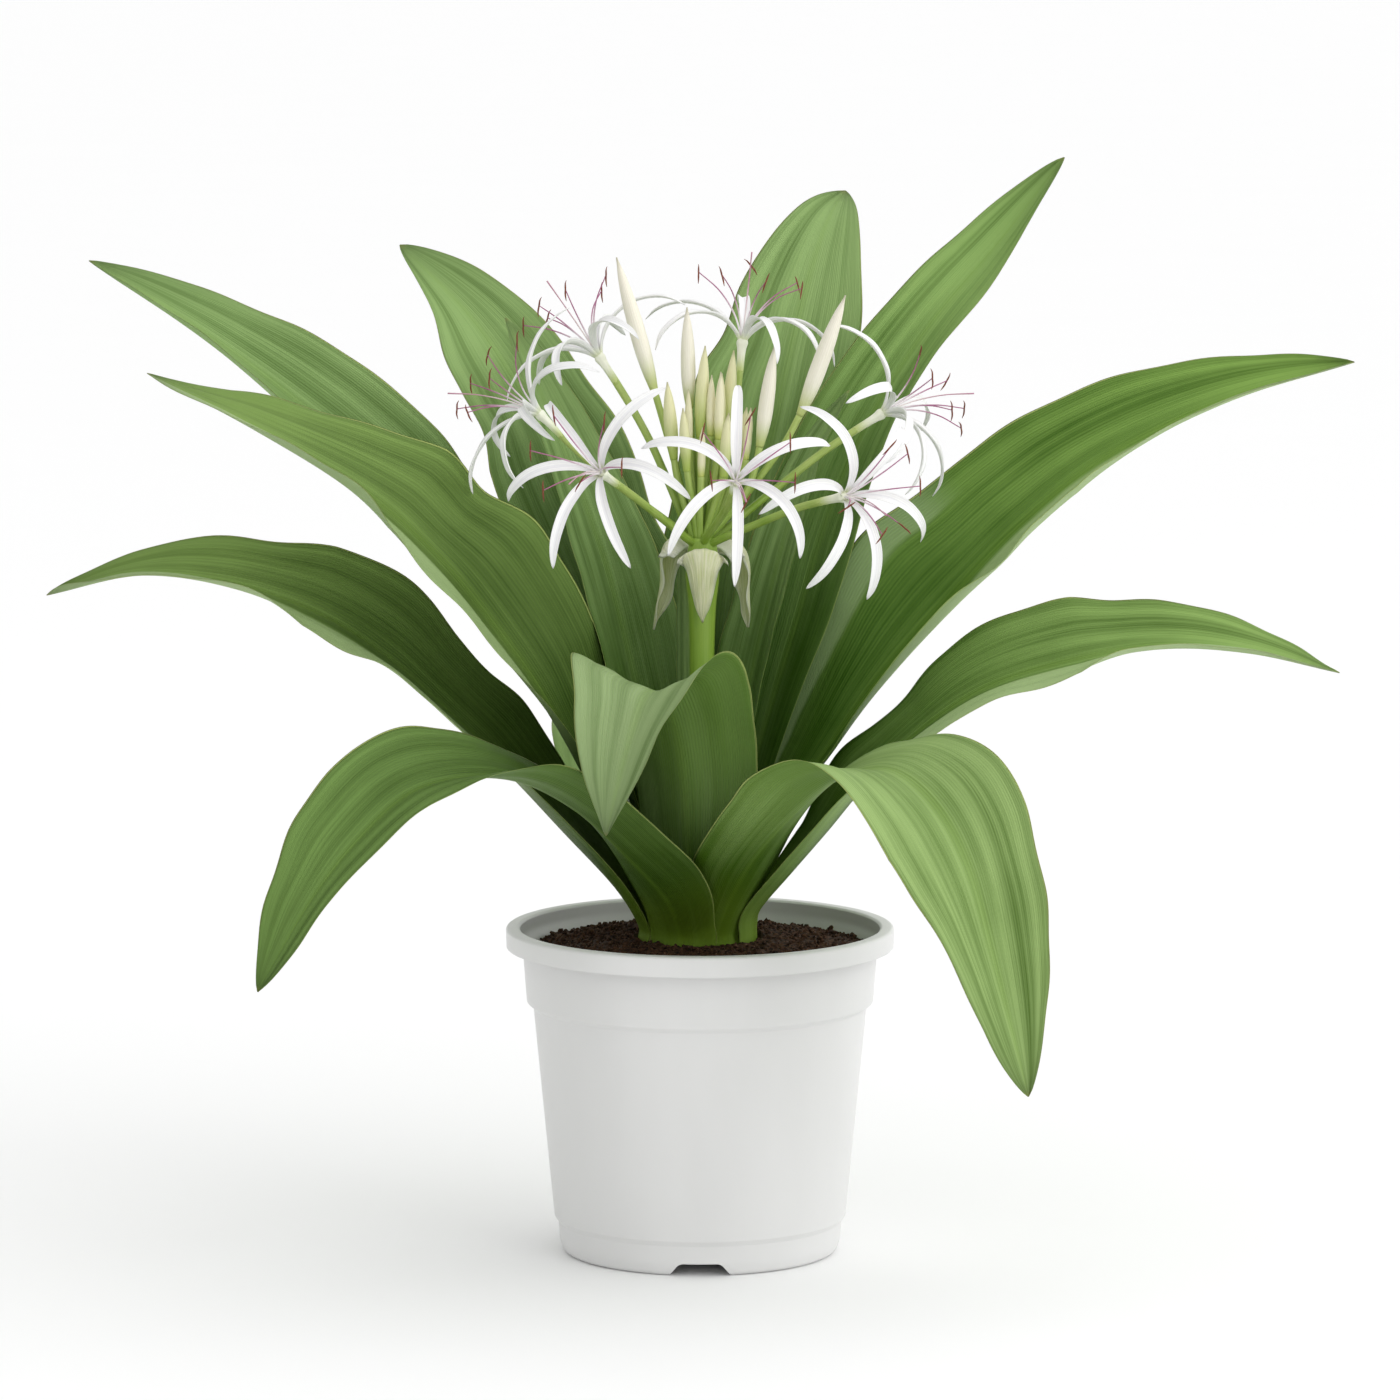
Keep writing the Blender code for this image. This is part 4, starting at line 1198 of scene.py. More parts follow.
@dataclass(frozen=True)
class ThreadSkin:
    """Filament or style, white at the throat and purple towards its end."""

    name: str
    root: str
    end: str
    turns_at: Pair = (0.15, 0.75)
    roughness: float = 0.45
    relief: float = 0.05

    def build(self) -> bpy.types.Material:
        """Make the material.

        Returns:
            The material.
        """
        graph = Graph(self.name)
        along, _ = graph.along_around()
        mottle = graph.cloud(graph.place(240.0))
        colour = graph.mix(along.rise(*self.turns_at) + (mottle - 0.5) * 0.3, srgb(self.root),
                           srgb(self.end))
        return graph.surface(colour, self.roughness + mottle * 0.1, mottle, self.relief)


@dataclass(frozen=True)
class AntherSkin:
    """Rust-brown anther dusted with pollen."""

    brown: str = "6E3423"
    dust: str = "B0764A"
    roughness: float = 0.7
    relief: float = 0.12

    def build(self) -> bpy.types.Material:
        """Make the material.

        Returns:
            The material.
        """
        graph = Graph("anther_brown")
        grains = graph.cloud(graph.place(2200.0))
        patches = graph.cloud(graph.place(300.0))
        colour = graph.mix(grains.rise(0.5, 0.7) * patches.rise(0.4, 0.65), srgb(self.brown),
                           srgb(self.dust))
        return graph.surface(colour, self.roughness + grains * 0.2, grains, self.relief)


@dataclass(frozen=True)
class BudSkin:
    """Closed bud, cream-white over a yellow-green base, with faint lines and a dull tip."""

    name: str
    cream: str
    base: str
    line: str = "D9CBB4"
    tip: str = "B9B48A"
    whole_from: float = 0.32
    lines: float = 21.0
    roughness: float = 0.45
    relief: float = 0.2

    def build(self) -> bpy.types.Material:
        """Make the material.

        Returns:
            The material.
        """
        graph = Graph(self.name)
        along, around = graph.along_around()
        streak = graph.cloud(graph.spot(along * 3.0, around * 30.0), 4.0, 0.6)
        lines = around.stripes(self.lines, streak * 4.0)
        colour = graph.mix(along.rise(0.0, self.whole_from) + (streak - 0.5) * 0.5,
                           srgb(self.base), srgb(self.cream))
        colour = graph.mix(lines * along * 0.35, colour, srgb(self.line))
        colour = graph.mix(along.rise(0.9, 1.0) * 0.5, colour, srgb(self.tip))
        return graph.surface(colour, self.roughness + streak * 0.12, lines * 0.6 + streak * 0.4,
                             self.relief)


@dataclass(frozen=True)
class StudioFloor:
    """Plain pale floor with a barely visible texture."""

    pale: str = "F7F7F7"
    white: str = "FFFFFF"
    roughness: float = 0.8

    def build(self) -> bpy.types.Material:
        """Make the material.

        Returns:
            The material.
        """
        graph = Graph("studio_floor")
        grain = graph.cloud(graph.place(3.0))
        colour = graph.mix(grain * 0.1, srgb(self.pale), srgb(self.white))
        return graph.surface(colour, self.roughness)


@dataclass
class Pot:
    """White nursery pot with a rolled rim, a stepped collar and a notched foot."""

    steps: int = 144
    corner_steps: int = 3
    corner_share: float = 0.45
    sharp_from: float = 28.0
    foot_radius: float = 103.0
    notch_count: int = 3
    notch_bottom: float = 54.0
    notch_top: float = 32.0
    notch_height: float = 10.0
    notch_below: float = 4.0
    notch_reach: float = 30.0
    notch_corner: float = 3.0
    notch_segments: int = 5
    drain_count: int = 4
    drain_radius: float = 6.0
    drain_circle: float = 60.0
    drain_height: float = 12.0
    drain_depth: float = 12.0
    drain_sides: int = 32
    profile: tuple[tuple[float, float, float], ...] = (
        (0.0, 13.5, 0.0), (105.5, 13.5, 2.0), (111.0, 38.0, 4.0), (126.4, 192.0, 1.0),
        (131.4, 197.5, 1.0), (134.4, 234.0, 2.0), (139.0, 243.0, 3.0), (139.0, 252.4, 0.5),
        (140.6, 254.0, 1.0), (148.4, 254.0, 2.4), (150.0, 252.4, 1.0), (149.7, 238.4, 0.8),
        (147.2, 238.4, 0.6), (147.3, 250.0, 1.0), (141.6, 250.0, 1.0), (137.0, 235.5, 0.8),
        (134.0, 196.0, 1.2), (129.0, 192.5, 1.0), (113.0, 28.0, 0.7), (110.0, 24.0, 0.7),
        (108.8, 9.0, 3.0), (106.4, 2.0, 2.0), (103.0, 0.0, 1.0), (99.0, 0.0, 0.5),
        (99.0, 10.5, 0.5), (0.0, 10.5, 0.0))

    def outline(self) -> list[Pair]:
        """Round the profile's corners, each by the length that its third number gives.

        Returns:
            The radius and height of each point.
        """
        points = [self.profile[0][:2]]
        for before, corner, after in zip(self.profile, self.profile[1:], self.profile[2:]):
            middle = Vector(corner[:2])
            back = Vector(before[:2]) - middle
            ahead = Vector(after[:2]) - middle
            reach = min(corner[2], back.length * self.corner_share,
                        ahead.length * self.corner_share)
            start = middle + back.normalized() * reach
            end = middle + ahead.normalized() * reach
            for step in range(self.corner_steps + 1):
                share = step / self.corner_steps
                point = (start * (1 - share) ** 2 + middle * 2 * share * (1 - share)
                         + end * share ** 2)
                points.append((point.x, point.y))
        points.append(self.profile[-1][:2])
        return points

    def shell(self) -> Piece:
        """Turn the outline into the pot's wall.

        Returns:
            The piece.
        """
        piece = Piece("pot_shell")
        body = piece.body
        points = [body.verts.new((radius, 0.0, height)) for radius, height in self.outline()]
        edges = [body.edges.new(pair) for pair in zip(points, points[1:])]
        bmesh.ops.spin(body, geom=points + edges, cent=(0.0, 0.0, 0.0), axis=(0.0, 0.0, 1.0),
                       angle=math.tau, steps=self.steps, use_merge=True, use_duplicate=False)
        bmesh.ops.remove_doubles(body, verts=body.verts, dist=0.001)
        bmesh.ops.recalc_face_normals(body, faces=body.faces)
        for face in body.faces:
            face.smooth = True
        return piece

    def notch(self, turn: int) -> bpy.types.Object:
        """Make the block that cuts one notch in the foot.

        Args:
            turn: The notch's number.

        Returns:
            The block.
        """
        body = bmesh.new()
        bmesh.ops.create_cube(body, size=1.0)
        for vert in body.verts:
            width = self.notch_bottom if vert.co.z < 0 else self.notch_top
            vert.co = (vert.co.x * width, -self.foot_radius + vert.co.y * self.notch_reach,
                       self.notch_height if vert.co.z > 0 else -self.notch_below)
        upper = [edge for edge in body.edges
                 if all(vert.co.z > 0 for vert in edge.verts)
                 and abs(edge.verts[0].co.x - edge.verts[1].co.x) < 1.0]
        bmesh.ops.bevel(body, geom=upper, offset=self.notch_corner, segments=self.notch_segments,
                        profile=0.5, affect="EDGES", material=-1)
        angle = math.tau * turn / self.notch_count
        bmesh.ops.rotate(body, verts=body.verts, matrix=Matrix.Rotation(angle, 3, "Z"))
        return to_object(body, "cutter")

    def drain(self, turn: int) -> bpy.types.Object:
        """Make the cylinder that cuts one drain hole in the floor.

        Args:
            turn: The hole's number.

        Returns:
            The cylinder.
        """
        body = bmesh.new()
        angle = math.tau * (turn + 0.5) / self.drain_count
        middle = about_axis(self.drain_circle, angle, self.drain_height)
        bmesh.ops.create_cone(body, cap_ends=True, segments=self.drain_sides,
                              radius1=self.drain_radius, radius2=self.drain_radius,
                              depth=self.drain_depth, matrix=Matrix.Translation(middle))
        return to_object(body, "cutter")

    def build(self) -> None:
        """Make the pot and cut its notches and drain holes."""
        pot = self.shell().finish([PotPlastic().build()], "pot", Slot.POT)
        cutters = [self.notch(turn) for turn in range(self.notch_count)]
        cutters += [self.drain(turn) for turn in range(self.drain_count)]
        for cutter in cutters:
            cut = pot.modifiers.new("cut", "BOOLEAN")
            cut.operation = "DIFFERENCE"
            cut.solver = "EXACT"
            cut.object = cutter
        depsgraph = bpy.context.evaluated_depsgraph_get()
        mesh = bpy.data.meshes.new_from_object(pot.evaluated_get(depsgraph))
        pot.modifiers.clear()
        pot.data = mesh
        mesh.set_sharp_from_angle(angle=math.radians(self.sharp_from))
        for cutter in cutters:
            bpy.data.objects.remove(cutter, do_unlink=True)


@dataclass
class Soil:
    """Potting soil with lumps in its surface and loose crumbs on top.

    Each of the lumps has its pitch and its height. The crumbs lie from crumbs_from out to a gap
    before the pot's wall, and a share of them lies in a ring by the wall.
    """

    wall_radius: float = 134.0
    neck_radius: float = 49.2
    at_neck: float = 246.0
    hole_floor: float = 170.0
    bottom: float = 13.8
    faces: Faces = (72, 220)
    hole_ends: float = 0.12
    wall_starts: float = 0.82
    top: tuple[Pair, ...] = ((49.2, 246.2), (58.0, 246.0), (72.0, 245.5), (94.0, 242.6),
                             (114.0, 239.2), (128.0, 236.4), (134.0, 235.4))
    wall: tuple[Pair, ...] = ((134.0, 235.2), (130.9, 197.6), (125.8, 192.2), (110.5, 38.0),
                              (105.1, 13.8))
    lumps: tuple[Pair, ...] = ((17.0, 2.4), (6.0, 1.9), (2.6, 1.3))
    lumps_at_wall: float = 0.35
    lumps_end: float = 0.5
    lumps_fade: float = 3.0
    seed: int = 5
    crumbs: int = 3000
    crumbs_from: float = 51.0
    wall_gap: float = 3.4
    wall_ring: Pair = (9.0, 3.0)
    ring_share: float = 0.2
    crumb_radii: Pair = (0.8, 1.7)
    big_share: float = 0.14
    big_factor: float = 1.9
    crowding: float = 0.8
    crumb_stretch: tuple[Pair, ...] = ((0.7, 1.5), (0.7, 1.2), (0.5, 0.9))
    crumb_rise: Pair = (0.0, 0.55)
    crumb_bumps: Pair = (0.8, 1.15)

    def height(self, x: float, y: float) -> float:
        """Find how high the soil's surface is.

        Args:
            x: The place, to the right of the pot's axis.
            y: The place, behind it.

        Returns:
            The height above the floor.
        """
        radius = math.hypot(x, y)
        level = float(np.interp(radius, *zip(*self.top)))
        spot = Vector((x, y, 0.0))
        fade = ease((self.wall_radius + self.lumps_end - radius) / self.lumps_fade)
        lumps = sum(noise.noise(spot / pitch) * height for pitch, height in self.lumps)
        return level + lumps * (self.lumps_at_wall + (1.0 - self.lumps_at_wall) * fade)

    def bed(self, piece: Piece) -> None:
        """Wrap the soil's whole outside, from the neck's hole over the top and down the wall.

        Args:
            piece: The piece that takes it.
        """
        hole = ((0.0, self.hole_floor), (self.neck_radius, self.hole_floor),
                (self.neck_radius, self.at_neck))
        wall = (*self.wall, (0.0, self.bottom))

        def place(along: float, around: float) -> Vector:
            """Find a point of the soil's outside.

            Args:
                along: How far along it is, 0 to 1.
                around: How far round it is, 0 to 1.

            Returns:
                The point.
            """
            angle = math.tau * around
            if along < self.hole_ends:
                radius, height = on_outline(hole, along / self.hole_ends)
            elif along > self.wall_starts:
                radius, height = on_outline(wall, (along - self.wall_starts)
                                            / (1.0 - self.wall_starts))
            else:
                share = (along - self.hole_ends) / (self.wall_starts - self.hole_ends)
                radius = self.neck_radius + (self.wall_radius - self.neck_radius) * share
                height = self.height(radius * math.cos(angle), radius * math.sin(angle))
            return about_axis(radius, angle, height)

        piece.loft(self.faces, place)

    def scatter(self, piece: Piece) -> None:
        """Lay loose crumbs on the surface, thickest by the neck and against the wall.

        Args:
            piece: The piece that takes them.
        """
        draw = random.Random(self.seed)
        reach = self.wall_radius - self.wall_gap - self.crumbs_from
        ring = [self.wall_radius - gap for gap in self.wall_ring]
        for _ in range(self.crumbs):
            radius = self.crumbs_from + reach * draw.random() ** self.crowding
            if draw.random() < self.ring_share:
                radius = draw.uniform(*ring)
            angle = draw.uniform(0.0, math.tau)
            size = draw.uniform(*self.crumb_radii)
            size *= self.big_factor if draw.random() < self.big_share else 1.0
            x, y = radius * math.cos(angle), radius * math.sin(angle)
            made = bmesh.ops.create_icosphere(piece.body, subdivisions=1, radius=size)
            turn = Matrix.Rotation(draw.uniform(0.0, math.tau), 3, Vector((
                draw.uniform(-1, 1), draw.uniform(-1, 1), draw.uniform(0.1, 1))))
            stretch = Vector([draw.uniform(*span) for span in self.crumb_stretch])
            middle = Vector((x, y, self.height(x, y) + size * draw.uniform(*self.crumb_rise)))
            for vert in made["verts"]:
                vert.co = turn @ (vert.co * draw.uniform(*self.crumb_bumps) * stretch) + middle

    def build(self) -> None:
        """Make the soil and its crumbs."""
        piece = Piece("soil_bed")
        self.bed(piece)
        self.scatter(piece)
        piece.finish([PottingSoil().build()], "soil", Slot.SOIL)


@dataclass
class Bulb:
    """Bulb's neck under the leaves, in a ribbed papery tunic."""

    top: float = BULB_TOP
    ribs: float = 37.0
    rib_depth: float = 0.006
    faces: Faces = (48, 148)
    outline: tuple[Pair, ...] = ((0.6, 170.3), (30.0, 170.4), (38.0, 172.5), (45.0, 178.0),
                                 (47.6, 192.0), (49.6, 208.0), (49.4, 213.0), (47.6, 214.9),
                                 (0.6, 215.0))

    def build(self) -> None:
        """Make the bulb."""
        piece = Piece("bulb_neck")
        path = Path([(radius, 0.0, height) for radius, height in self.outline])

        def place(along: float, around: float) -> Vector:
            """Find a point of the tunic.

            Args:
                along: How far along it is, 0 to 1.
                around: How far round it is, 0 to 1.

            Returns:
                The point.
            """
            spot = path.point(along)
            angle = math.tau * around
            radius = spot.x * (1.0 - self.rib_depth * (1.0 + math.cos(angle * self.ribs)))
            return about_axis(radius, angle, min(spot.z, self.top))

        piece.loft(self.faces, place)
        piece.finish([BulbSkin().build()], "bulb", Slot.BULB)


def cupped(across: float, half_width: float, turn: float, sharpness: float,
           steps: int = 10) -> Pair:
    """Bend a straight line across a blade so that its halves turn up from the keel.

    Args:
        across: Where on the line, -1 to 1.
        half_width: Half the line's length.
        turn: How far each half turns, in radians.
        sharpness: 0 for a sharp fold and 1 for an even bend.
        steps: How many straight steps the bend is summed in.

    Returns:
        The sideways and the upward offset.
    """
    sideways = 0.0
    upward = 0.0
    for step in range(steps):
        reach = abs(across) * (step + 0.5) / steps
        angle = turn * (1.0 + sharpness) * reach ** sharpness
        sideways += math.cos(angle)
        upward += math.sin(angle)
    share = half_width * abs(across) / steps
    return math.copysign(sideways * share, across), upward * share


@dataclass(frozen=True)
class Section:
    """A blade's section at one share of its length."""

    middle: Vector
    side: Vector
    normal: Vector
    half_width: float
    turn: float
    sharpness: float

    @classmethod
    def on(cls, path: Path, share: float, across: Vector, roll: float,
           shape: tuple[float, float, float]) -> Section:
        """Stand a section square on a keel.

        Args:
            path: The keel.
            share: Where on it, 0 to 1.
            across: Roughly which way the section runs.
            roll: How far it rolls about the keel, in radians.
            shape: Its half width, turn and sharpness.

        Returns:
            The section.
        """
        tangent = path.direction(share)
        level = (across - tangent * across.dot(tangent)).normalized()
        normal = tangent.cross(level)
        return cls(path.point(share), level * math.cos(roll) + normal * math.sin(roll),
                   normal * math.cos(roll) - level * math.sin(roll), *shape)

    def at(self, across: float, lift: float, reach: float = 1.0) -> Vector:
        """Return the point at a place across the blade.

        Args:
            across: The place, -1 to 1.
            lift: How far it is off the middle surface.
            reach: How wide the blade is there, as a share of the section's width.

        Returns:
            The point.
        """
        sideways, upward = cupped(across, self.half_width * reach, self.turn, self.sharpness)
        return self.middle + self.side * sideways + self.normal * (upward + lift)


def to_tip(share: float, taper: Pair) -> float:
    """Return the share of its width that a blade keeps at a share of its length."""
    return (1.0 - share ** taper[0]) ** taper[1]


def to_edge(across: float, power: int) -> float:
    """Return the share of its thickness that a blade keeps at a place across it, -1 to 1."""
    return math.sqrt(max(1.0 - across ** power, 0.0))


def sides_of(around: float) -> tuple[float, float]:
    """Split a place round a blade into its place across and its face.

    Args:
        around: 0 to 0.5 on the upper face and 0.5 to 1 back along the lower one.

    Returns:
        The place across, -1 to 1, and 1 for the upper or -1 for the lower face.
    """
    share = abs(2.0 * around - 1.0)
    across = 0.75 * (1.0 - 2.0 * share) + 0.25 * math.cos(math.pi * share)
    return across, 1.0 if around <= 0.5 else -1.0


@dataclass
class Leaf:
    """One strap leaf that stands on the bulb, wraps the neck and arches out.

    Its body is its thickness at the edges and what the keel adds, as shares. Pleats and waves
    start, and pleats end, from a share of its length and over another.
    """

    plan: LeafPlan
    faces: Faces = (150, 56)
    thickness: float = 1.7
    base_top: float = 256.0
    base_knot: float = 242.0
    outer_radius: float = 47.5
    layer_pitch: float = 4.0
    blade_shares: tuple[float, float, float] = (0.4, 0.66, 0.9)
    neck_run: float = 0.12
    widens_after: float = 0.06
    widens_over: float = 0.36
    turns_over: float = 0.3
    fold: float = 0.6
    taper: Pair = (3.6, 0.8)
    tip_half: float = 0.6
    body: Pair = (0.62, 0.38)
    tip_thins: float = 0.65
    pleats_start: Pair = (0.22, 0.3)
    pleats_end: Pair = (0.85, 0.15)
    pleats_lost: float = 0.6
    waves_start: Pair = (0.3, 0.3)
    waves: float = 17.0
    wave_slant: float = 1.4
    pleat: float = 0.7
    pleats: float = 4.5
    crinkle: float = 0.8
    crinkles: float = 61.0

    def base(self) -> tuple[Vector, Path]:
        """Lay the leaf's keel.

        Returns:
            The leaf's foot, at the height of the floor, and its keel.
        """
        radius = self.outer_radius - self.layer_pitch * self.plan.layer
        foot = about_axis(radius, math.radians(self.plan.azimuth))
        heights = (BULB_TOP + FIT_GAP, self.base_knot, self.base_top)
        return foot, Path([foot + UP * height for height in heights] + list(self.plan.keel))

    def sections(self) -> Callable[[float], Section]:
        """Lay out the blade's sections.

        Returns:
            What gives the section at a share of the blade's length.
        """
        foot, path = self.base()
        tip = Vector(self.plan.keel[-1]) - foot
        side = UP.cross(Vector((tip.x, tip.y, 0.0)).normalized())
        foot_side = UP.cross(foot.normalized())
        base_half = math.radians(self.plan.base_arc) * foot.length
        base_share = (self.base_top - BULB_TOP) / path.length
        neck_half, blade_half = self.plan.width
        shares = (base_share, *self.blade_shares)
        cups = (self.plan.base_arc / 2.0, *self.plan.cup)
        rolls = (0.0, *self.plan.roll)

        @lru_cache(maxsize=None)
        def section(share: float) -> Section:
            """Find the blade's section.

            Args:
                share: Where along it, 0 to 1.

            Returns:
                The section.
            """
            past = share - base_share
            half_width = base_half + (neck_half - base_half) * ease(past / self.neck_run)
            half_width += (blade_half - neck_half) * ease((past - self.widens_after)
                                                          / self.widens_over)
            half_width *= to_tip(share, self.taper)
            half_width += self.tip_half * share
            blend = ease(past / self.turns_over)
            return Section.on(path, share, (foot_side * (1.0 - blend) + side * blend).normalized(),
                              math.radians(np.interp(share, shares, rolls)),
                              (half_width, math.radians(np.interp(share, shares, cups)),
                               1.0 - self.fold * blend))

        return section

    def relief(self, share: float, across: float, phase: float) -> float:
        """Lift the blade off its even form by its long wave, its pleats and its crinkled edges.

        Args:
            share: Where along the blade, 0 to 1.
            across: Where across it, -1 to 1.
            phase: Where the pleats and crinkles start, in radians.

        Returns:
            The lift in millimetres.
        """
        pleated, closing, waving = (
            ease((share - start) / over)
            for start, over in (self.pleats_start, self.pleats_end, self.waves_start))
        openness = pleated * (1.0 - self.pleats_lost * closing)
        wave = self.plan.wave * waving * across ** 2 * math.sin(
            self.waves * share + self.wave_slant * across)
        pleats = self.pleat * openness * (1.0 - across ** 6) * math.cos(
            math.tau * self.pleats * across / 2.0 + phase)
        return wave + pleats + self.crinkle * openness * across ** 6 * math.sin(
            self.crinkles * share + phase + across)

    def half_thickness(self, share: float, across: float) -> float:
        """Find half the blade's thickness, which thins to its edges and its tip.

        Args:
            share: Where along the blade, 0 to 1.
            across: Where across it, -1 to 1.

        Returns:
            Half the thickness.
        """
        edge, keel = self.body
        half = self.thickness / 2.0 * (edge + keel * (1.0 - across ** 2)) * to_edge(across, 8)
        return half * (1.0 - self.tip_thins * share ** 12)

    def build(self, material: bpy.types.Material) -> None:
        """Make the leaf.

        Args:
            material: Its finish.
        """
        piece = Piece(self.plan.name + "_blade")
        section = self.sections()
        phase = random.Random(self.plan.name).uniform(0.0, math.tau)

        def place(along: float, around: float) -> Vector:
            """Find a point of the leaf's skin.

            Args:
                along: How far along it is, 0 to 1.
                around: How far round it is, 0 to 1.

            Returns:
                The point.
            """
            share = round(along, 6)
            across, face = sides_of(around)
            reach, rise = self.plan.rims[across > 0.0].at(share)
            lift = self.relief(share, across, phase) + rise * across ** 2
            lift *= 1.0 - share ** 24
            return section(share).at(across, lift + face * self.half_thickness(share, across),
                                     1.0 + reach)

        piece.loft(self.faces, place)
        piece.finish([material], self.plan.name, Slot.LEAF)


@dataclass(frozen=True)
class Face:
    """A bloom's face: where its throat is, which way it looks and its up and right."""

    throat: Vector
    facing: Vector
    upward: Vector
    rightward: Vector

    @classmethod
    def of(cls, plan: BloomPlan) -> Face:
        """Find the face of a bloom.

        Args:
            plan: The bloom's plan.

        Returns:
            The face.
        """
        facing = Vector(plan.facing).normalized()
        reference = UP if facing.z < 0.75 else Vector((0.0, 1.0, 0.0))
        upward = (reference - facing * reference.dot(facing)).normalized()
        return cls(Path(plan.way).point(1.0), facing, upward, upward.cross(facing))

    def outward(self, clock: float) -> Vector:
        """Return the direction on the face at a clock angle in degrees."""
        angle = math.radians(clock)
        return self.upward * math.cos(angle) + self.rightward * math.sin(angle)

    def sweep(self, start: Vector, clocks: Pair, leans: Pair, length: float,
              count: int) -> list[Vector]:
        """Follow a curve whose clock angle and lean from the facing change evenly.

        Args:
            start: Its first point.
            clocks: Its first and last clock angle.
            leans: Its first and last lean.
            length: Its length.
            count: How many steps.

        Returns:
            The curve's points.
        """
        points = [start.copy()]
        for step in range(count):
            share = (step + 0.5) / count
            lean = math.radians(leans[0] + (leans[1] - leans[0]) * share)
            outward = self.outward(clocks[0] + (clocks[1] - clocks[0]) * share)
            heading = self.facing * math.cos(lean) + outward * math.sin(lean)
            points.append(points[-1] + heading * length / count)
        return points


class BloomFinish(IntEnum):
    """Finishes of a bloom, by their number on its piece."""

    TUBE = 0
    TEPAL = 1
    FILAMENT = 2
    ANTHER = 3
    STYLE = 4


@dataclass
class Bloom:
    """One spider-like bloom: a slender tube, six curling tepals, six stamens and a style."""

    plan: BloomPlan
    draw: random.Random
    tube_radii: tuple[float, ...] = (2.9, 3.0, 3.0, 3.1, 3.5, 4.4, 2.2)
    tube_faces: Faces = (26, 24)
    tube_ribs: Pair = (6.0, 0.05)
    throat_rise: float = 1.5
    tepal_faces: Faces = (40, 20)
    tepal_steps: int = 9
    tepal_root: Pair = (4.0, 1.6)
    tepal_length: float = 94.0
    tepal_width: float = 9.4
    root_share: float = 0.42
    opening_share: float = 0.58
    opens_over: float = 0.4
    taper: Pair = (5, 0.7)
    tip_half: float = 0.7
    tip_loss: float = 0.7
    cup: float = 24.0
    root_cup: float = 14.0
    bend: float = 0.8
    tip_thins: float = 0.6
    tepal_thickness: float = 1.1
    tepal_root_lean: float = 28.0
    twist: float = 0.35
    twist_spread: float = 1.7
    wave: float = 0.25
    waves: float = 23.0
    groove_depth: float = 0.22
    groove_width: float = 0.16
    groove_from: float = 0.2
    thread_faces: Faces = (26, 10)
    thread_steps: int = 3
    thread_root: float = 3.0
    filament_length: float = 65.0
    filament_root_lean: float = 14.0
    filament_radii: tuple[float, ...] = (0.8, 0.72, 0.58, 0.46, 0.38)
    anther_faces: Faces = (20, 10)
    anther_length: float = 16.0
    anther_radii: tuple[float, ...] = (0.2, 0.5, 0.66, 0.62, 0.66, 0.5, 0.2)
    anther_bow: float = 1.3
    anther_bends: Pair = (1.2, 0.2)
    anther_knee: float = 0.55
    anther_dip: float = 0.3
    anther_swing: float = 0.9
    style_length: float = 74.0
    style_clock: float = 180.0
    style_leans: Pair = (5.0, 32.0)
    style_radii: tuple[float, ...] = (0.75, 0.6, 0.5, 0.42, 0.6)

    def tepal(self, piece: Piece, face: Face, clock: float, curl: float, drift: float) -> None:
        """Add one tepal.

        Args:
            piece: The bloom.
            face: Its face.
            clock: The clock angle of the tepal's tip.
            curl: The angle from the facing that it curls back to.
            drift: How far its clock angle drifts on the way.
        """
        clocks = (clock - drift / 2.0, clock + drift / 2.0)
        depth, ring = self.tepal_root
        root = face.throat - face.facing * depth + face.outward(clocks[0]) * ring
        path = Path(face.sweep(root, clocks, (self.tepal_root_lean, curl), self.tepal_length,
                               self.tepal_steps))
        twist = self.twist * math.sin(clock * self.twist_spread + len(self.plan.name))

        @lru_cache(maxsize=None)
        def section(share: float) -> Section:
            """Find the tepal's section.

            Args:
                share: Where along it, 0 to 1.

            Returns:
                The section.
            """
            opened = self.root_share + self.opening_share * ease(share / self.opens_over)
            half_width = self.tepal_width / 2.0 * opened * to_tip(share, self.taper)
            half_width += self.tip_half * (1.0 - self.tip_loss * share ** 6)
            side = face.facing.cross(face.outward(clocks[0] + drift * share))
            turn = math.radians(self.cup + self.root_cup * (1.0 - share))
            return Section.on(path, share, side, twist * share * share,
                              (half_width, turn, self.bend))

        def place(along: float, around: float) -> Vector:
            """Find a point of the tepal's skin.

            Args:
                along: How far along it is, 0 to 1.
                around: How far round it is, 0 to 1.

            Returns:
                The point.
            """
            share = round(along, 6)
            across, over = sides_of(around)
            half = self.tepal_thickness / 2.0 * to_edge(across, 4)
            half *= 1.0 - self.tip_thins * share ** 4
            lift = self.wave * math.sin(self.waves * share + clock) * across ** 2
            groove = math.exp(-(across / self.groove_width) ** 2) * ease(share / self.groove_from)
            lift -= self.groove_depth * groove * over
            return section(share).at(across, lift + over * half)

        piece.loft(self.tepal_faces, place, BloomFinish.TEPAL)

    def stamen(self, piece: Piece, face: Face, clock: float, lean: float, turn: float) -> None:
        """Add one filament with its anther hanging from the end.

        Args:
            piece: The bloom.
            face: Its face.
            clock: The stamen's clock angle.
            lean: The angle from the facing that it leans out to.
            turn: How far the anther swings to the side.
        """
        points = face.sweep(face.throat - face.facing * self.thread_root, (clock, clock),
                            (self.filament_root_lean, lean), self.filament_length,
                            self.thread_steps)
        end = points[-1]
        across = (UP + face.facing.cross(face.outward(clock)) * turn).normalized()
        piece.tube(points, self.filament_radii, self.thread_faces, BloomFinish.FILAMENT)
        half = across * self.anther_length / 2.0
        knee = half * self.anther_knee
        bow = face.facing * self.anther_bow
        far, near = (bow * bend for bend in self.anther_bends)
        piece.tube([end - half - far, end - knee - near, end - face.facing * self.anther_dip,
                    end + knee - near, end + half - far],
                   self.anther_radii, self.anther_faces, BloomFinish.ANTHER)

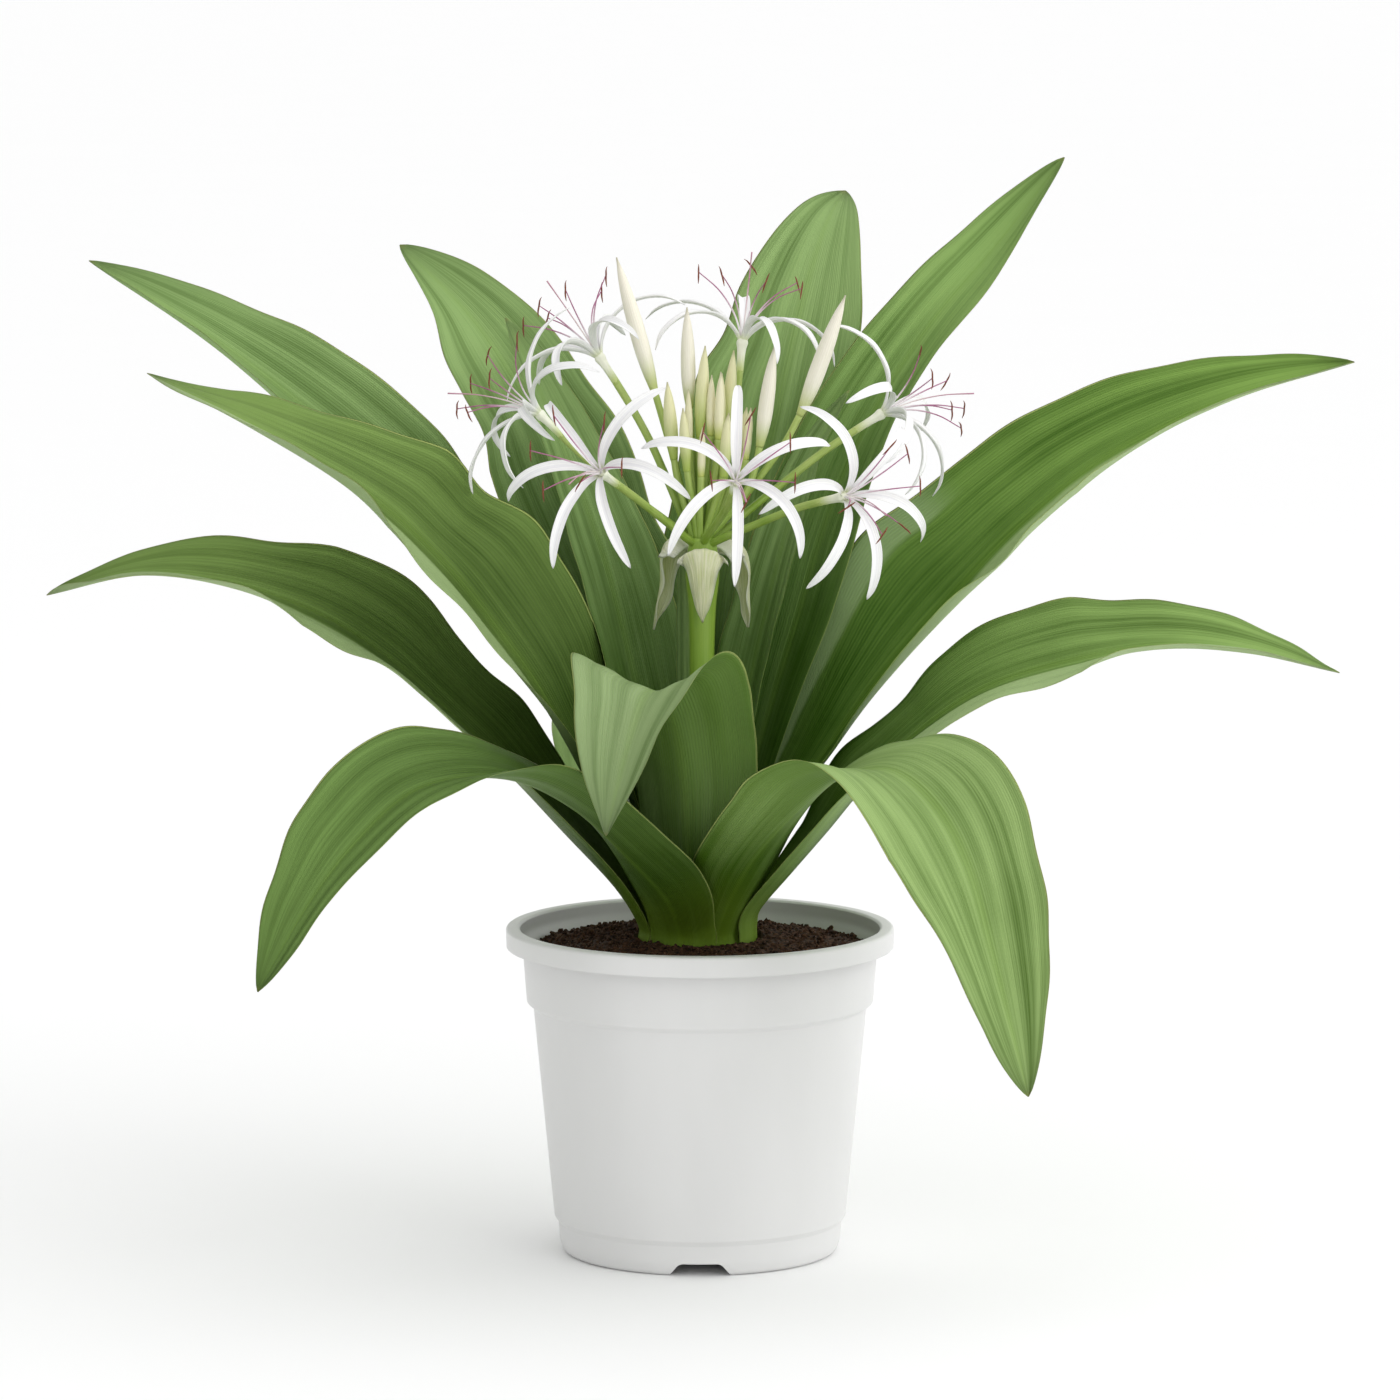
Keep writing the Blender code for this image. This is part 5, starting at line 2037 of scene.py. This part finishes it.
    def build(self, materials: Sequence[bpy.types.Material]) -> None:
        """Make the bloom.

        Args:
            materials: Its finishes, in the order of their numbers.
        """
        piece = Piece(self.plan.name + "_flower")
        face = Face.of(self.plan)
        path, start = self.plan.on_stalk()
        points = path.part(start - STALK_LAP / path.length, 1.0, 5)
        piece.tube(points + [face.throat + face.facing * self.throat_rise], self.tube_radii,
                   self.tube_faces, BloomFinish.TUBE, self.tube_ribs)
        for tepal in self.plan.tepals:
            self.tepal(piece, face, *tepal)
        for clock, lean in self.plan.stamens:
            self.stamen(piece, face, clock, lean,
                        self.draw.uniform(-self.anther_swing, self.anther_swing))
        style = face.sweep(face.throat - face.facing * self.thread_root,
                           (self.style_clock, self.style_clock), self.style_leans,
                           self.style_length, self.thread_steps)
        piece.tube(style, self.style_radii, self.thread_faces, BloomFinish.STYLE)
        piece.finish(materials, self.plan.name, Slot.PETAL)


@dataclass
class Bud:
    """One closed bud with three lapped tepals and a pointed tip."""

    plan: BudPlan
    faces: Faces = (44, 30)
    ribs: Pair = (3.0, 0.035)
    tip_radius: float = 0.5
    shares: tuple[float, ...] = (0.78, 0.97, 1.0, 0.94, 0.78, 0.5)

    def build(self, material: bpy.types.Material) -> None:
        """Make the bud.

        Args:
            material: Its finish.
        """
        piece = Piece(self.plan.name + "_bud")
        path, start = self.plan.on_stalk()
        radii = [STALK_RADIUS, *(self.plan.radius * share for share in self.shares),
                 self.tip_radius]
        piece.tube(path.part(start - STALK_LAP / path.length, 1.0, 9), radii, self.faces,
                   ribs=self.ribs)
        piece.finish([material], self.plan.name, Slot.BUD)


class ScapeFinish(IntEnum):
    """Finishes of the scape, by their number on its piece."""

    STEM = 0
    STALK = 1
    BUDLET = 2


@dataclass
class Scape:
    """Flowering stalk with its receptacle, the stalks of blooms and buds, and six small buds."""

    top: Point = (2.0, 0.0, 548.0)
    foot: Point = (0.0, 0.0, BULB_TOP + FIT_GAP)
    radius: float = 9.5
    receptacle: float = 13.0
    stem_shares: tuple[float, ...] = (0.0, 0.25, 0.5, 0.75, 0.96)
    even_steps: int = 10
    swelling: Pair = (1.02, 1.12)
    crown: float = 8.0
    crown_share: float = 0.8
    stem_faces: Faces = (120, 40)
    stem_ribs: Pair = (2.0, 0.03)
    bloom_stalk: Pair = (1.15, 1.0)
    bloom_stalk_faces: Faces = (30, 14)
    bud_stalk: Pair = (1.0, 0.9)
    bud_stalk_faces: Faces = (26, 12)
    stalk_ribs: Pair = (3.0, 0.04)
    budlet_ends: Pair = (2.4, 0.4)
    budlet_shares: tuple[float, ...] = (1.0, 1.05, 1.0, 0.7)
    budlet_faces: Faces = (30, 16)
    budlet_ribs: Pair = (3.0, 0.05)

    def stem(self, piece: Piece) -> None:
        """Add the thick stalk with its swollen top.

        Args:
            piece: The scape.
        """
        foot, top = Vector(self.foot), Vector(self.top)
        points = [foot + (top - foot) * share for share in self.stem_shares]
        radii = [self.radius] * self.even_steps
        radii += [self.radius * share for share in self.swelling]
        radii += [self.receptacle, self.receptacle * self.crown_share]
        piece.tube(points + [top, top + UP * self.crown], radii,
                   self.stem_faces, ScapeFinish.STEM, self.stem_ribs)

    def stalk(self, piece: Piece, plan: BloomPlan | BudPlan, widths: Pair, faces: Faces) -> None:
        """Add the stalk of one bloom or bud.

        Args:
            piece: The scape.
            plan: The plan of the bloom or bud.
            widths: The stalk's radius at its root and above it, over the usual radius.
            faces: How many faces along and how many round.
        """
        path, end = plan.on_stalk()
        root, above = (STALK_RADIUS * width for width in widths)
        piece.tube([Vector(self.top)] + path.part(0.0, end, 6), [root] + [above] * 4, faces,
                   ScapeFinish.STALK, self.stalk_ribs)

    def budlet(self, piece: Piece, plan: BudPlan) -> None:
        """Add one small bud that stays between the others.

        Args:
            piece: The scape.
            plan: Its plan.
        """
        base, tip = Vector(plan.base), Vector(plan.tip)
        root, end = self.budlet_ends
        radii = [root, *(plan.radius * share for share in self.budlet_shares), end]
        piece.tube([base + (tip - base) * share for share in (0.0, 0.3, 0.7, 1.0)], radii,
                   self.budlet_faces, ScapeFinish.BUDLET, self.budlet_ribs)

    def build(self, blooms: Sequence[BloomPlan], buds: Sequence[BudPlan],
              budlets: Sequence[BudPlan]) -> None:
        """Make the scape.

        Args:
            blooms: The blooms' plans.
            buds: The buds' plans.
            budlets: The small buds' plans.
        """
        piece = Piece("scape_stalk")
        self.stem(piece)
        for bloom in blooms:
            self.stalk(piece, bloom, self.bloom_stalk, self.bloom_stalk_faces)
        for bud in [*buds, *budlets]:
            self.stalk(piece, bud, self.bud_stalk, self.bud_stalk_faces)
        for budlet in budlets:
            self.budlet(piece, budlet)
        piece.finish([ScapeSkin("scape_green", green="6E9426", pale="A4C052").build(),
                      ScapeSkin("stalk_green", green="7E9E34", pale="C6D284").build(),
                      BudSkin("budlet_cream", cream="F0ECC8", base="C8D272").build()],
                     "scape", Slot.SCAPE)


@dataclass
class Bract:
    """One papery bract that hangs from under the umbel."""

    plan: BractPlan
    axis: Pair = (2.0, 0.0)
    faces: Faces = (56, 48)
    width: float = 23.0
    thickness: float = 0.9
    cup: float = -32.0
    wave: float = 1.4
    waves: float = 17.0
    wave_slant: float = 1.4
    crinkle: float = 0.3
    crinkles: float = 19.0
    shape: tuple[float, ...] = (0.8, 1.08, 0.9, 0.68, 0.55, 0.43, 0.28, 0.03)

    def build(self, material: bpy.types.Material) -> None:
        """Make the bract.

        Args:
            material: Its finish.
        """
        piece = Piece(self.plan.name + "_sheath")
        outward = about_axis(1.0, math.radians(self.plan.azimuth))
        path = Path([Vector((*self.axis, height)) + outward * reach
                     for reach, height in self.plan.keel])
        side = UP.cross(outward)

        @lru_cache(maxsize=None)
        def section(share: float) -> Section:
            """Find the bract's section.

            Args:
                share: Where along it, 0 to 1.

            Returns:
                The section.
            """
            return Section.on(path, share, side, 0.0, (self.width * flowing(self.shape, share),
                                                       math.radians(self.cup), 1.0))

        def place(along: float, around: float) -> Vector:
            """Find a point of the bract's skin.

            Args:
                along: How far along it is, 0 to 1.
                around: How far round it is, 0 to 1.

            Returns:
                The point.
            """
            share = round(along, 6)
            across, over = sides_of(around)
            lift = self.wave * across ** 2 * math.sin(self.waves * share
                                                      + self.wave_slant * across)
            lift += self.crinkle * math.sin(across * self.crinkles) * (1.0 - across ** 4)
            half = self.thickness / 2.0 * to_edge(across, 6)
            return section(share).at(across, lift + over * half)

        piece.loft(self.faces, place)
        piece.finish([material], self.plan.name, Slot.BRACT)


@dataclass
class Studio:
    """Pale floor, a soft light and the camera."""

    target: Point = (0.0, 0.0, 430.0)
    distance: float = 5588.0
    pitch: float = 7.5
    lens: float = 186.6
    sensor: float = 36.0
    sees_to: float = 200000.0
    floor_size: float = 60000.0
    sky: float = 0.86
    overhead: float = 0.3
    from_right: float = 0.46
    key_place: Point = (2600.0, -2400.0, 3000.0)
    key_size: float = 3200.0
    key_watts: float = 31.0

    def camera(self) -> None:
        """Place the camera at the photograph's angle."""
        pitch = math.radians(self.pitch)
        data = bpy.data.cameras.new("camera")
        data.lens = self.lens
        data.sensor_width = self.sensor
        data.clip_end = self.sees_to * MM
        item = bpy.data.objects.new("camera", data)
        back = Vector((0.0, -math.cos(pitch), math.sin(pitch))) * self.distance
        item.location = (Vector(self.target) + back) * MM
        item.rotation_euler = (math.pi / 2.0 - pitch, 0.0, 0.0)
        bpy.context.scene.collection.objects.link(item)
        bpy.context.scene.camera = item

    def key_light(self) -> None:
        """Hang a square soft light in front on the right, looking at the plant."""
        data = bpy.data.lights.new("key_light", "AREA")
        data.size = self.key_size * MM
        data.energy = self.key_watts
        item = bpy.data.objects.new("key_light", data)
        item.location = Vector(self.key_place) * MM
        item.rotation_euler = (Vector(self.target) - Vector(self.key_place)).to_track_quat(
            "-Z", "Y").to_euler()
        bpy.context.scene.collection.objects.link(item)

    def surroundings(self) -> None:
        """Surround the scene with soft white light, strongest overhead and from the right."""
        world = bpy.data.worlds.new("studio")
        sky = Nodes(world, "Background")
        spot = sky.node("ShaderNodeTexCoord", output="Generated")
        lean = sky.node("ShaderNodeVectorMath", {"operation": "DOT_PRODUCT"},
                        {0: spot, 1: (self.from_right, 0.0, self.overhead)}, "Value")
        sky.fill(sky.shader, {"Color": (1.0, 1.0, 1.0, 1.0), "Strength": lean + self.sky})
        bpy.context.scene.world = world

    def floor(self) -> None:
        """Lay the floor."""
        body = bmesh.new()
        bmesh.ops.create_grid(body, x_segments=4, y_segments=4, size=self.floor_size)
        item = to_object(body, "floor")
        item.data.materials.append(StudioFloor().build())

    def build(self) -> None:
        """Make the camera, the floor and the lights."""
        self.camera()
        self.floor()
        self.surroundings()
        self.key_light()
        bpy.context.scene.view_settings.view_transform = "Standard"


LEAF_SKINS: dict[LeafTone, LeafSkin] = {
    # The pale finish's fade is painted shade on the hanging outer part of its blade.
    LeafTone.PALE: LeafSkin("leaf_pale", deep="2E4F07", light="93AD6D", under="4F7024",
                            open_from=0.5, fade=0.26),
    LeafTone.FOLDED: LeafSkin("leaf_folded", deep="2E4F07", light="96AB7B", under="527326",
                              open_from=0.5, streaks_and_sheen=0.5),
    LeafTone.MIDDLE: LeafSkin("leaf_middle", deep="2A4D05", light="95B273", under="7E9F58"),
    LeafTone.DEEP: LeafSkin("leaf_deep", deep="234B03", light="90B068", under="8AA866"),
    # Painted shade: darker copy of the leaf colours for the front-left leaf on the shaded left
    # side.
    LeafTone.SHADE: LeafSkin("leaf_painted_shade", deep="193402", light="6D8B4B", under="6E8E4A"),
    # Painted shade: darker deep and light colours for the leaves on the shaded left side.
    LeafTone.LEFTWARD: LeafSkin("leaf_leftward", deep="193502", light="78934F",
                                under="A0B682", turned=0.85, turns_right=False),
    # painted_light_edge paints light on the lower half of the rightward and edged leaves.
    LeafTone.RIGHTWARD: LeafSkin("leaf_rightward", deep="234603", light="92B266",
                                 under="A8BE8A", painted_light_edge=0.5, turned=0.85),
    LeafTone.EDGED: LeafSkin("leaf_edged", deep="234B03", light="8CB05A", under="A8BE8A",
                             open_from=1.25, painted_light_edge=0.5, turned=0.85, turned_from=0.52,
                             strip=0.85),
}


def main() -> None:
    """Build every piece of the plant and its studio."""
    logging.basicConfig(level=logging.INFO, format="%(name)s: %(message)s")
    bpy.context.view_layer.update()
    Studio().build()
    Pot().build()
    Soil().build()
    Bulb().build()
    Scape().build(BLOOMS, BUDS, BUDLETS)
    skins = {tone: skin.build() for tone, skin in LEAF_SKINS.items()}
    for leaf in LEAVES:
        Leaf(leaf).build(skins[leaf.tone])
    papery = BractSkin().build()
    for bract in BRACTS:
        Bract(bract).build(papery)
    bloom_finishes = [TubeSkin().build(), PetalSkin().build(),
                      ThreadSkin("filament_purple", root="F2EDEF", end="A0567F").build(),
                      AntherSkin().build(),
                      ThreadSkin("style_pink", root="F0E9E6", end="B98698").build()]
    draw = random.Random(STAMEN_SEED)
    for bloom in BLOOMS:
        Bloom(bloom, draw).build(bloom_finishes)
    cream = BudSkin("bud_cream", cream="F3EFDF", base="BBC878").build()
    green = BudSkin("bud_green", cream="E6E5B4", base="A9BE58", whole_from=0.7).build()
    for bud in BUDS:
        Bud(bud).build(cream if bud.radius > CREAM_BUD_RADIUS else green)


if __name__ == "__main__":
    main()
